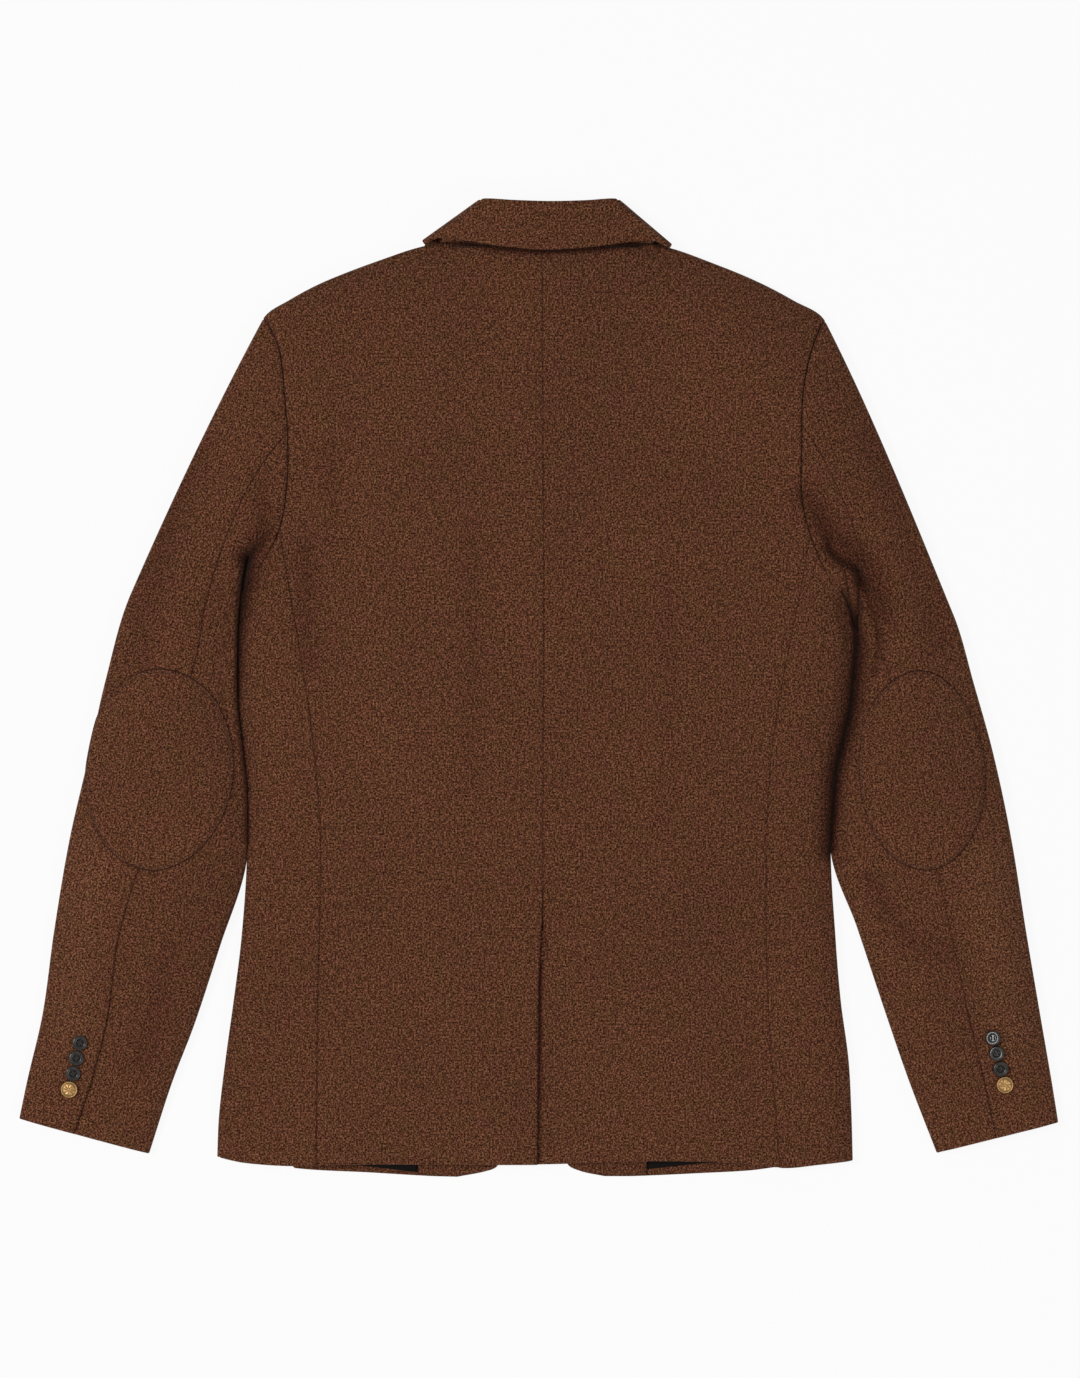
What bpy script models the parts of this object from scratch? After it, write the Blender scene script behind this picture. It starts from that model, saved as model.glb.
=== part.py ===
"""A two-button blazer laid flat on its front, back up, as a set of cut and sewn pieces.

World frame: +X to the garment's right-hand side as it lies, +Y towards the collar, +Z up. All tables are
in millimetres and meshes are made in metres. The cloth is worked out as the mid-surface of a thin wall:
an upper layer whose height grows with the distance from the nearest fold, round fold edges, and a lower
layer that lies flat.
"""
import math

import bmesh
import bpy
import numpy as np

MM = 0.001

# Driving dimensions, mm
CLOTH = 2.0                 # wall of every cloth piece
SEAM = 0.17                 # each piece stops this far short of its seam line
LAYER = 2.4                 # pitch of two layers that lie on each other
LAP = 3.2                   # pitch where a wide piece laps over another
FOLD_TOP = math.radians(60)  # a fold's arc ends here and the upper layer goes on at the same slope
CROWN = 2.5                 # power of the upper layer's rise away from a fold
DARK_DIAMETER = 12.0
BRASS_DIAMETER = 13.2
FRONT_DIAMETER = 20.0
SEAM_ROWS = 11              # rows of the pieces along the side-back and side-front seams
SHOULDER_ROWS = 7
SLEEVE_ROWS_PER_SPAN = 2
FOLD_STEPS = np.radians((60, 30, 0, -30, -60, -90))
BACK_TURNS = 3              # steps of the shoulder's fold that belong to the back

# Height of the cloth by level: y, torso loft, sleeve loft, radius of the folds
LOFT = (
    (-384, 11.5, 12.0, 4.0),
    (-330, 13.0, 15.0, 4.6),
    (-240, 16.5, 20.0, 5.4),
    (-120, 19.5, 25.0, 6.0),
    (20, 22.5, 26.5, 6.5),
    (75, 24.5, 25.5, 6.5),
    (130, 25.5, 25.5, 6.5),
    (250, 26.5, 26.5, 6.8),
    (310, 22.0, 22.0, 6.4),
    (360, 12.0, 12.0, 5.6),
)

# Fold line of each shoulder, neck end first, then the tip: x, y
SHOULDER = {
    "left": ((-74, 350.5), (-92, 347), (-109, 341.9), (-165, 321), (-196, 305), (-216.5, 290)),
    "right": ((87, 350), (107, 345), (127, 337.9), (169, 321), (200, 305), (225.5, 288)),
}
# Armhole seam on the upper layer between the tip and the underarm point: x, y
ARMHOLE = {
    "left": ((-203, 266), (-199, 234), (-196, 195), (-197, 156), (-203, 124), (-216, 99)),
    "right": ((213, 262), (207, 230), (206, 187), (206, 150), (213, 120), (228, 87)),
}
SCYE_FOOT = 5               # index of the armhole point where the side-back seam begins, tip counted
UNDERARM = {"left": (-233.5, 73), "right": (245, 59)}
# Sleeve spans below the underarm: outer x, y, inner x, y, hindarm seam as a share of the width from outside
SLEEVE = {
    "left": (
        (-320, 75, -236.9, 45, 0.68),
        (-340, 7, -236.7, -12, 0.62),
        (-354, -56, -229.4, -78, 0.55),
        (-368.5, -119, -230.9, -138, 0.43),
        (-380.5, -190, -250, -202, 0.39),
        (-389.5, -255, -270, -263, 0.425),
        (-401.5, -307, -288, -310, 0.445),
        (-408, -338, -306, -365.5, 0.42),
    ),
    "right": (
        (326, 58, 249, 32, 0.72),
        (342, 4, 245.6, -15, 0.64),
        (357.5, -52, 234.8, -65, 0.56),
        (371.5, -118, 230.8, -130, 0.45),
        (383, -190, 250, -187, 0.45),
        (393.5, -252, 272, -253, 0.465),
        (403, -307, 291, -308, 0.475),
        (408.5, -341, 313, -365, 0.51),
    ),
}
HINDARM_START = {"left": 0.41, "right": 0.36}   # share of the armhole, from the tip
HINDARM_BOW = 0.13                              # how far the seam bows outwards above the first span
FOREARM_SEAM = 0.80                             # share of the width, on the lower layer
# Side fold of the torso below the underarm point: x, y
SIDE_FOLD = {
    "left": ((-235.9, 45), (-235.8, -12), (-228.5, -78), (-228, -138), (-233.5, -197), (-239.5, -245),
             (-246, -292), (-251, -335), (-252.5, -368)),
    "right": ((248, 32), (244.6, -15), (233.8, -65), (229, -128), (233.5, -197), (237.5, -245),
              (243.7, -292), (246, -335), (247, -371)),
}
# Side-back seam from the armhole down: x, y
SIDE_BACK = {
    "left": ((-198, 95), (-187, 30), (-178.5, -25), (-173, -80), (-170.5, -127), (-173, -245), (-174.5, -374.5)),
    "right": ((204, 70), (192, 10), (184.5, -35), (180, -87), (178.5, -127), (180, -237), (189.5, -376)),
}
NECK_TURN = 2.4              # depth of the back's rows at the neck seam
CENTRE_BACK = ((3, 352), (4.3, 70), (3.3, -160), (2.2, -190), (0.3, -232), (-0.8, -374))
BACK_HEM = ((-252.5, -368), (-230, -372.5), (-193, -375), (-131, -374), (-1, -374), (84, -371.5),
            (148, -372.5), (193, -376.5), (220, -374), (247, -371))
# Vent: where it opens, how far the right half's underlap runs beneath the left half
VENT_TOP = -190.0
VENT_SLANT = 24.0
UNDERLAP = 35.0
# Front, from the neck seam down the neckline and the roll line to the break, the front edge and the cutaway
FRONT_EDGE = {
    "left": ((-74, 350.5), (-41, 308), (-36, 302), (-10, 112), (17, -80), (17, -205), (9, -265),
             (-9, -325), (-32, -375), (-41, -379.5), (-64, -384)),
    "right": ((87, 350), (56, 308), (51, 302), (20, 152), (-23, -80), (-23, -205), (-15, -262),
              (3, -322), (22.5, -373.5), (33, -379.5), (52, -383.5)),
}
FRONT_HEM = {
    "left": ((-64, -384), (-85, -383.4), (-131, -380.7), (-193, -377), (-195, -376.8)),
    "right": ((52, -383.5), (76, -383.4), (130, -381), (166, -379), (190, -377)),
}
OVERLAP = ((17, -80), (17, -205), (9, -265), (-3, -300), (-30, -265), (-34, 62), (10, 62))
SIDE_FRONT_INSET = 58.0      # side-front seam, from the fold, on the lower layer
SIDE_FRONT_AT_ARMHOLE = 0.80  # share of the lower armhole, from the tip
SCYE_HOLLOW = 7.0            # how much deeper the front armhole is cut
# Lapels, on the lower layer: inner edge on the roll line, outer edge, from the gorge down
LAPEL = {
    "left": (((-36, 301.6), (-10, 112), (14.5, -66)), ((-127, 271), (-124, 240), (-92, 118), (6, -66))),
    "right": (((51, 301.6), (36, 226), (3.5, 63)), ((137, 271), (134, 240), (105, 150), (10.5, 60))),
}
# Collar stations round the neck: neck seam x, y, crease x, y, edge of the fall x, y, and the layer
COLLAR = (
    ("left gorge", -38, 309, -35, 306, -110, 305, "lower"),
    ("left neck", -56, 337, -41, 345, -108, 322, "lower"),
    ("left side", -77.5, 357, -46, 383.3, -91, 351, "fold"),
    ("left back", -46, 355.8, -43, 383.4, -76, 353, "upper"),
    ("mid left", -22, 354.6, -18, 382.2, -26, 346.5, "upper"),
    ("centre", 4, 353.6, 9, 381.4, 4, 344.2, "upper"),
    ("mid right", 34, 354.2, 36, 382, 38, 345.8, "upper"),
    ("right back", 60, 355.2, 60, 383.4, 88, 351.2, "upper"),
    ("right side", 90.5, 356, 63, 383.3, 104.5, 348, "fold"),
    ("right neck", 70, 337, 57, 345, 123, 320, "lower"),
    ("right gorge", 53, 309, 50, 306, 126, 305, "lower"),
)
GORGE_DROP = (0.0, 8.5, 15.5, 0.0)  # how far the collar's ends drop to the gorge seam, crease to edge
COLLAR_MID = (2.2, 17.2)     # height midway between stand and fall, on the lower and the upper layer
COLLAR_HALF = (1.2, 1.6)     # half the pitch of stand and fall, on the lower and the upper layer
COLLAR_ROLL = 5.0            # how far the collar's side folds bulge
# Elbow patches: span index of the centre, distance of the centre from the outer fold, width, length
PATCH = {"left": (2.97, 63.0, 118.0, 160.0), "right": (3.1, 65.0, 98.0, 160.0)}
PATCH_TURN = {"left": math.radians(12), "right": math.radians(14)}   # how far it leans off the sleeve's run
PATCH_LIFT = 0.8
PATCH_RINGS = (0.0, 0.25, 0.48, 0.68, 0.84, 0.94, 1.0)
PATCH_SPOKES = 36
# Buttons of each cuff, from the top down: x, y
CUFF_BUTTONS = {
    "left": ((-359.4, -277.6), (-362.3, -289.6), (-365.0, -301.7), (-368.0, -314.4)),
    "right": ((356.6, -273.9), (359.6, -285.9), (362.5, -298.0), (365.8, -310.7)),
}
FRONT_BUTTONS = ((-3, -95), (-3, -200))
FRONT_BUTTON_HEIGHT = 3.5
# Facing and lining where they show below the back hem: side, inner x, outer x and lower edge
FACING_INNER = {"left": -94.6, "right": 85.0}
FACING_TOP = -350.0
LINING_EDGE = {
    "left": ((-205, -371), (-160, -372.5), (-95.2, -380.3)),
    "right": ((195, -370), (130, -373), (85.6, -377.8)),
}

# Finishes: base colour, roughness, metallic
FINISH = {
    "tweed": ((0.089, 0.036, 0.019), 0.95, 0.0),
    "lining": ((0.006, 0.005, 0.005), 0.55, 0.0),
    "dark_button": ((0.018, 0.015, 0.014), 0.35, 0.0),
    "brass": ((0.45, 0.28, 0.12), 0.32, 1.0),
}
SIGN = {"left": -1.0, "right": 1.0}


# ---------------------------------------------------------------- curves

def knots(*parts):
    """Join point tables into one array of knots."""
    return np.array([point for part in parts for point in part], float)


def along(line, at):
    """Points of the smooth curve through the knots, at fractional knot numbers."""
    line = np.asarray(line, float)
    at = np.asarray(at, float)
    run = np.r_[0.0, np.cumsum(np.linalg.norm(np.diff(line, axis=0), axis=1))]
    slope = np.empty_like(line)
    slope[1:-1] = (line[2:] - line[:-2]) / (run[2:] - run[:-2])[:, None]
    slope[0] = (line[1] - line[0]) / (run[1] - run[0])
    slope[-1] = (line[-1] - line[-2]) / (run[-1] - run[-2])
    i = np.clip(np.floor(at).astype(int), 0, len(line) - 2)
    f = (at - i)[..., None]
    h = (run[i + 1] - run[i])[..., None]
    return ((1 + 2 * f) * (1 - f) ** 2 * line[i] + f * (1 - f) ** 2 * h * slope[i]
            + f * f * (3 - 2 * f) * line[i + 1] + f * f * (f - 1) * h * slope[i + 1])


def outward(line, at, hint):
    """Unit normals of the curve in plan, on the side of the hint direction."""
    step = 0.02
    last = len(line) - 1.0
    ahead = along(line, np.minimum(np.asarray(at) + step, last))
    behind = along(line, np.maximum(np.asarray(at) - step, 0.0))
    run = ahead - behind
    normal = np.stack([run[..., 1], -run[..., 0]], -1)
    normal /= np.linalg.norm(normal, axis=-1, keepdims=True)
    return normal * np.where((normal * hint).sum(-1) < 0, -1.0, 1.0)[..., None]


def spread(line, count, first=0.0, last=None):
    """Points at even steps of length along the curve."""
    last = len(line) - 1.0 if last is None else last
    at = np.linspace(first, last, 60)
    points = along(line, at)
    run = np.r_[0.0, np.cumsum(np.linalg.norm(np.diff(points, axis=0), axis=1))]
    return np.interp(np.linspace(0, run[-1], count), run, at)


def straight(line, count):
    """Points at even steps of length along the polyline, corners kept."""
    line = np.asarray(line, float)
    run = np.r_[0.0, np.cumsum(np.linalg.norm(np.diff(line, axis=0), axis=1))]
    at = np.linspace(0, run[-1], count)
    return np.stack([np.interp(at, run, line[:, k]) for k in range(line.shape[1])], -1)


def coons(bottom, top, left, right):
    """Plan grid between four edges: bottom and top run left to right, left and right run upwards."""
    u = np.linspace(0, 1, len(bottom))[None, :, None]
    v = np.linspace(0, 1, len(left))[:, None, None]
    across = (1 - v) * bottom[None] + v * top[None]
    up = (1 - u) * left[:, None] + u * right[:, None]
    corners = ((1 - u) * (1 - v) * bottom[0] + u * (1 - v) * bottom[-1]
               + (1 - u) * v * top[0] + u * v * top[-1])
    return across + up - corners


def distance(points, line):
    """Distance in plan from each point to a polyline."""
    a, b = line[:-1], line[1:]
    ab = b - a
    ap = points[..., None, :] - a
    t = np.clip((ap * ab).sum(-1) / np.maximum((ab * ab).sum(-1), 1e-9), 0, 1)
    return np.linalg.norm(ap - t[..., None] * ab, axis=-1).min(-1)


def inside(points, ring):
    """True where a plan point lies inside a closed ring of corners."""
    ring = np.asarray(ring, float)
    x, y = points[..., 0], points[..., 1]
    found = np.zeros(x.shape, bool)
    for (x0, y0), (x1, y1) in zip(ring, np.roll(ring, -1, axis=0)):
        crosses = (y0 > y) != (y1 > y)
        reach = x0 + (y - y0) * (x1 - x0) / (y1 - y0 if y1 != y0 else 1e-9)
        found ^= crosses & (x < reach)
    return found


def near(points, ring, full, fade):
    """1 on a closed region and up to full mm round it, falling smoothly to 0 at fade mm."""
    ring = np.asarray(ring, float)
    closed = np.vstack([ring, ring[:1]])
    away = np.where(inside(points, ring), 0.0, distance(points, closed))
    t = np.clip((fade - away) / (fade - full), 0, 1)
    return t * t * (3 - 2 * t)


# ---------------------------------------------------------------- the garment's form

def outer_fold(side):
    """Shoulder and outer sleeve fold, from the neck to the cuff."""
    return knots(SHOULDER[side], [row[:2] for row in SLEEVE[side]])


def inner_fold(side):
    """Inner sleeve fold, from the underarm point to the cuff."""
    return knots([UNDERARM[side]], [row[2:4] for row in SLEEVE[side]])


def side_fold(side):
    """Side fold of the torso, from the underarm point to the hem."""
    return knots([UNDERARM[side]], SIDE_FOLD[side])


TIP = len(SHOULDER["left"]) - 1.0
FOLD_LINES = [along(fold(side), np.linspace(0, len(fold(side)) - 1, 120))
              for side in SIGN for fold in (outer_fold, inner_fold, side_fold)]


def by_level(y, column):
    table = np.array(LOFT, float)
    return np.interp(y, table[:, 0], table[:, column])


def fold_radius(points):
    return by_level(points[..., 1], 3)


def upper(points, part="torso"):
    """Height of the upper layer's mid-surface over plan points."""
    radius = fold_radius(points)
    start = radius * (1 + math.sin(FOLD_TOP))
    loft = by_level(points[..., 1], 1 if part == "torso" else 2)
    rise = np.maximum(loft - start, 1.5)
    reach = CROWN * rise * math.tan(FOLD_TOP)
    away = np.min([distance(points, line) for line in FOLD_LINES], axis=0)
    t = np.clip((away - CLOTH / 2 - radius * (1 - math.cos(FOLD_TOP))) / reach, 0, 1)
    return CLOTH / 2 + start + rise * (1 - (1 - t) ** CROWN)


def upper_normal(points, height):
    step = 1.5
    shift = np.array([[step, 0.0], [0.0, step]])
    slope = [(height(points + s) - height(points - s)) / (2 * step) for s in shift]
    normal = np.stack([-slope[0], -slope[1], np.ones_like(slope[0])], -1)
    return normal / np.linalg.norm(normal, axis=-1, keepdims=True)


def lifted(points, height):
    """Points and normals of an upper layer."""
    return np.concatenate([points, height(points)[..., None]], -1), upper_normal(points, height)


def flat(points, height):
    """Points and normals of a lower layer, which faces down."""
    z = np.broadcast_to(height, points.shape[:-1])[..., None]
    down = np.zeros(points.shape[:-1] + (3,))
    down[..., 2] = -1.0
    return np.concatenate([points, z], -1), down


def inset(edge, normal, radius, angle):
    """Move an outline in to the mid-surface of the cloth at an angle from the fold's widest line."""
    return edge - normal * (CLOTH / 2 + radius * (1 - math.cos(angle)))[..., None]


def fold_arc(edge, normal, radius, angle, base=0.0):
    """One line of a round fold: points and normals at an angle from the fold's widest line."""
    plan = inset(edge, normal, radius, angle)
    turned = radius * (1 + math.sin(angle))
    z = CLOTH / 2 + turned + base * np.maximum(0.0, 1 - turned / (2 * radius))
    n = np.concatenate([normal * math.cos(angle), np.full(edge.shape[:-1] + (1,), math.sin(angle))], -1)
    return np.concatenate([plan, z[..., None]], -1), n


def front_lift(points, side):
    """How far the lower layer is held up by the lapel, the fall, the buttons and the other front."""
    lapel_in, lapel_out = LAPEL[side]
    s = SIGN[side]
    fall = (COLLAR[2], COLLAR[1], COLLAR[0]) if s < 0 else (COLLAR[-3], COLLAR[-2], COLLAR[-1])
    ring = [row[3:5] for row in fall[:1]] + [row[5:7] for row in fall]
    ring += list(lapel_out) + list(lapel_in)[::-1]
    lift = (LAYER + 0.25) * near(points, ring, 30, 52)
    if side == "left":
        away = distance(points, np.array(FRONT_BUTTONS, float))
        t = np.clip((70 - away) / 36, 0, 1)
        return np.maximum(lift, (FRONT_BUTTON_HEIGHT + 0.5) * t * t * (3 - 2 * t))
    return np.maximum(lift, (front_lift(points, "left") + LAP) * near(points, OVERLAP, 20, 42))


# ---------------------------------------------------------------- armhole and sleeve

def underarm_normal(side):
    return np.array([SIGN[side] * 0.25, -0.97])


def armhole_ends(side):
    """Fold point, outward normal and fold radius at the shoulder tip and at the underarm."""
    line = outer_fold(side)
    tip = along(line, TIP)
    tip_normal = outward(line, np.array(TIP), np.array([SIGN[side], 0.6]))
    arm = np.array(UNDERARM[side], float)
    return (tip, tip_normal), (arm, underarm_normal(side))


def armhole_plan(side, share, layer):
    """Armhole line in plan, share 0 at the tip and 1 at the underarm."""
    (tip, tip_n), (arm, arm_n) = armhole_ends(side)
    angle = FOLD_TOP if layer == "upper" else -math.pi / 2
    first = inset(tip, tip_n, fold_radius(tip), angle)
    last = inset(arm, arm_n, fold_radius(arm), angle)
    line = knots([first], ARMHOLE[side], [last])
    at = np.asarray(share, float) * (len(line) - 1)
    points = along(line, at)
    if layer == "lower":
        points = points - np.array([SIGN[side], 0]) * (SCYE_HOLLOW * np.sin(np.pi * share))[..., None]
    return points


def sleeve_edges(side, span):
    """Fold points, normals and radii of both sleeve folds at a span number, 0 being the armhole."""
    s = SIGN[side]
    span = np.asarray(span, float)
    outer, inner = outer_fold(side), inner_fold(side)
    a = along(outer, TIP + span)
    b = along(inner, span)
    a_n = outward(outer, TIP + span, np.array([s, 0.3]))
    b_n = outward(inner, span, np.array([-s, -0.1]))
    blend = np.clip(span / 0.5, 0, 1)[..., None]
    b_n = (1 - blend) * underarm_normal(side) + blend * b_n
    b_n /= np.linalg.norm(b_n, axis=-1, keepdims=True)
    return a, a_n, b, b_n


def sleeve_plan(side, span, share, layer):
    """Plan point of the sleeve at a span number and a share of the width from the outer fold."""
    angle = FOLD_TOP if layer == "upper" else -math.pi / 2
    a, a_n, b, b_n = sleeve_edges(side, span)
    a = inset(a, a_n, fold_radius(a), angle)
    b = inset(b, b_n, fold_radius(b), angle)
    w = np.clip(span, 0, 1)[..., None]
    u = np.asarray(share, float)[..., None]
    a1, a1_n, b1, b1_n = sleeve_edges(side, 1.0)
    a1, b1 = inset(a1, a1_n, fold_radius(a1), angle), inset(b1, b1_n, fold_radius(b1), angle)
    start = armhole_plan(side, share, layer)
    a0, b0 = armhole_plan(side, np.array(0.0), layer), armhole_plan(side, np.array(1.0), layer)
    head = ((1 - w) * start + w * ((1 - u) * a1 + u * b1)
            + (1 - u) * (a - (1 - w) * a0 - w * a1) + u * (b - (1 - w) * b0 - w * b1))
    return np.where(w < 1, head, (1 - u) * a + u * b)


def sleeve_seam(side, span):
    column = [HINDARM_START[side]] + [row[4] for row in SLEEVE[side]]
    bow = HINDARM_BOW * np.sin(np.pi * np.clip(span, 0, 1))
    return np.interp(span, np.arange(len(column)), column) - bow


def sleeve_height(points):
    return upper(points, "sleeve")


def scye_shares(side):
    """Shares of the upper armhole at its nodes: 4 spans to the hindarm seam, 2 to the foot, 2 to the underarm."""
    seam, foot = HINDARM_START[side], foot_share(side)
    return np.r_[np.linspace(0, seam, 5), np.linspace(seam, foot, 3)[1:], np.linspace(foot, 1, 3)[1:]]


FRONT_SCYE = np.linspace(0, FOREARM_SEAM, 7)       # shares of the lower armhole, tip to forearm seam
UNDER_SCYE = np.linspace(1, FOREARM_SEAM, 3)       # underarm point to forearm seam


def sleeve_strip(side, spans, piece):
    """Grid of a sleeve piece: rows along the arm, columns from the hindarm seam round the fold."""
    rows = []
    top = piece == "top"
    nodes, start = scye_shares(side), HINDARM_START[side]
    for span in spans:
        seam = sleeve_seam(side, span)
        shares = nodes[4::-1] * seam / start if top else seam + (1 - seam) * (nodes[4:] - start) / (1 - start)
        up = lifted(sleeve_plan(side, np.full(len(shares), span), shares, "upper"), sleeve_height)
        a, a_n, b, b_n = sleeve_edges(side, span)
        edge, normal = (a, a_n) if top else (b, b_n)
        arc = [fold_arc(edge, normal, fold_radius(edge), angle) for angle in FOLD_STEPS[1:-1]]
        shares = FRONT_SCYE if top else UNDER_SCYE
        low = flat(sleeve_plan(side, np.full(len(shares), span), shares, "lower"), CLOTH / 2)
        rows.append((np.vstack([up[0], [p for p, _ in arc], low[0]]),
                     np.vstack([up[1], [n for _, n in arc], low[1]])))
    return np.array([p for p, _ in rows]), np.array([n for _, n in rows])


def sleeve_ring(side, span):
    """A closed section of the sleeve with its running girth, 0 at the widest line of the outer fold."""
    count = 40
    shares = np.linspace(0, 1, count)
    up, up_n = lifted(sleeve_plan(side, np.full(count, span), shares, "upper"), sleeve_height)
    low, low_n = flat(sleeve_plan(side, np.full(count, span), shares, "lower"), CLOTH / 2)
    a, a_n, b, b_n = sleeve_edges(side, span)
    angles = np.linspace(-math.pi / 2, FOLD_TOP, 9)
    outer = [fold_arc(a, a_n, fold_radius(a), angle) for angle in angles[1:-1]]
    inner = [fold_arc(b, b_n, fold_radius(b), angle) for angle in angles[::-1][1:-1]]
    points = np.vstack([low[::-1], [p for p, _ in outer], up, [p for p, _ in inner], low[::-1][:3]])
    normals = np.vstack([low_n[::-1], [n for _, n in outer], up_n, [n for _, n in inner], low_n[:3]])
    run = np.r_[0.0, np.cumsum(np.linalg.norm(np.diff(points, axis=0), axis=1))]
    zero = run[count + 3]
    return points, normals, run - zero


# ---------------------------------------------------------------- meshes

def finish(name):
    colour, roughness, metallic = FINISH[name]
    material = bpy.data.materials.get(name) or bpy.data.materials.new(name)
    material.use_nodes = True
    shader = material.node_tree.nodes["Principled BSDF"]
    shader.inputs["Base Color"].default_value = (*colour, 1.0)
    shader.inputs["Roughness"].default_value = roughness
    shader.inputs["Metallic"].default_value = metallic
    return material


def add_object(name, mesh, material):
    mesh.materials.append(finish(material))
    thing = bpy.data.objects.new(name, mesh)
    bpy.data.collections["blazer"].objects.link(thing)
    return thing


def pull_in(points, gaps):
    """Move the edges of a grid inwards along the cloth, (first row, last row, first column, last column)."""
    points = points.copy()
    for axis, first, gap in ((0, True, gaps[0]), (0, False, gaps[1]), (1, True, gaps[2]), (1, False, gaps[3])):
        grid = np.swapaxes(points, 0, axis)
        edge, inner = (0, 1) if first else (-1, -2)
        step = grid[inner] - grid[edge]
        grid[edge] += gap * step / np.maximum(np.linalg.norm(step, axis=-1, keepdims=True), 1e-9)
    return points


def cloth(name, points, normals, gaps=(SEAM, SEAM, SEAM, SEAM), material="tweed", wall=CLOTH):
    """A wall of cloth either side of a grid of mid-surface points."""
    points = pull_in(points, gaps)
    rows, columns = points.shape[:2]
    mesh = bmesh.new()
    faces = [[[mesh.verts.new((p + side * wall / 2 * n) * MM) for p, n in zip(row, row_n)]
              for row, row_n in zip(points, normals)] for side in (1.0, -1.0)]
    for i in range(rows - 1):
        for j in range(columns - 1):
            for layer in faces:
                mesh.faces.new((layer[i][j], layer[i][j + 1], layer[i + 1][j + 1], layer[i + 1][j]))
    rim = ([(0, j) for j in range(columns)] + [(i, columns - 1) for i in range(1, rows)]
           + [(rows - 1, j) for j in range(columns - 2, -1, -1)] + [(i, 0) for i in range(rows - 2, 0, -1)])
    for (i, j), (k, m) in zip(rim, rim[1:] + rim[:1]):
        mesh.faces.new((faces[0][i][j], faces[1][i][j], faces[1][k][m], faces[0][k][m]))
    bmesh.ops.recalc_face_normals(mesh, faces=mesh.faces)
    data = bpy.data.meshes.new(name)
    mesh.to_mesh(data)
    mesh.free()
    data.shade_smooth()
    data.set_sharp_from_angle(angle=math.radians(50))
    return add_object(name, data, material)


# ---------------------------------------------------------------- pieces

def foot_share(side):
    """Share of the upper armhole at which the side-back seam begins."""
    return SCYE_FOOT / (len(ARMHOLE[side]) + 1.0)


def side_back_seam(side):
    top = armhole_plan(side, np.array(foot_share(side)), "upper")
    return knots([top], SIDE_BACK[side])


def hem_between(first, last, count):
    x = np.linspace(first, last, count)
    table = np.array(BACK_HEM, float)
    at = np.interp(x, table[:, 0], np.arange(len(table)))
    return np.stack([x, along(table, at)[:, 1]], -1)


def back_height(points):
    return upper(points, "torso")


def right_back_height(points):
    """The right half dips under the left half along the vent."""
    centre = np.interp(points[..., 1], *np.array(CENTRE_BACK[::-1], float).T[::-1])
    t = np.clip((points[..., 0] - centre - 16) / 22, 0, 1)
    v = np.clip((points[..., 1] - VENT_TOP - 50) / 32, 0, 1)
    return upper(points, "torso") - LAP * (1 - t) * (1 - v)


def back_outer(side):
    """Outer line of a back half: up the side-back seam and the armhole to the shoulder tip."""
    seam = side_back_seam(side)
    low = along(seam, spread(seam, SEAM_ROWS))[::-1]
    return np.vstack([low, armhole_plan(side, scye_shares(side)[5::-1], "upper")])


def centre_line():
    """Centre-back seam at the level of each row of the back, the same for both halves."""
    outer = (back_outer("left") + back_outer("right")) / 2
    centre = np.array(CENTRE_BACK, float)[::-1]
    level = (outer[:, 1] - outer[0, 1]) / (outer[-1, 1] - outer[0, 1])
    y = centre[0, 1] + level * (centre[-1, 1] - NECK_TURN - centre[0, 1])
    return np.stack([np.interp(y, centre[:, 1], centre[:, 0]), y], -1)


def shoulder_edge(side):
    fold = outer_fold(side)
    at = spread(fold, SHOULDER_ROWS, 0.0, TIP)
    edge = along(fold, at)
    return edge, outward(fold, at, np.array([SIGN[side] * 0.4, 1.0])), fold_radius(edge)


def back(side):
    """Back half: hem to shoulder, with the shoulder's fold and, on the right, the vent's underlap."""
    outer, middle = back_outer(side), centre_line()
    if side == "right":
        middle[:, 0] -= UNDERLAP * np.clip((VENT_TOP - middle[:, 1]) / VENT_SLANT, 0, 1)
    edge, normal, radius = shoulder_edge(side)
    shoulder = inset(edge, normal, radius, FOLD_TOP)
    neck = np.linspace(middle[-1], shoulder[0], 4)[:-1]
    top = np.vstack([neck, shoulder])
    bottom = hem_between(middle[0, 0], outer[0, 0], len(top))
    height = back_height if side == "left" else right_back_height
    points, normals = lifted(coons(bottom, top, middle, outer), height)
    for k, angle in enumerate(FOLD_STEPS[1:BACK_TURNS + 1]):
        arc, arc_n = fold_arc(edge, normal, radius, angle, front_lift(edge, side))
        seam_end = points[-1, :3] + np.array([0, NECK_TURN / BACK_TURNS, 0])
        points = np.concatenate([points, [np.vstack([seam_end, arc])]])
        normals = np.concatenate([normals, [np.vstack([normals[-1, :3], arc_n])]])
    return cloth("back_" + side, points, normals, (0.0, SEAM, SEAM, SEAM))


def side_front_seam(side):
    """Side-front seam on the lower layer, from the armhole down."""
    s = SIGN[side]
    fold = side_fold(side)
    levels = along(fold, np.arange(1.0, len(fold)))
    line = levels - np.array([s * SIDE_FRONT_INSET, 0])
    line[-1, 1] -= 5.0
    top = armhole_plan(side, np.array(SIDE_FRONT_AT_ARMHOLE), "lower")
    return knots([top], line)


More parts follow.
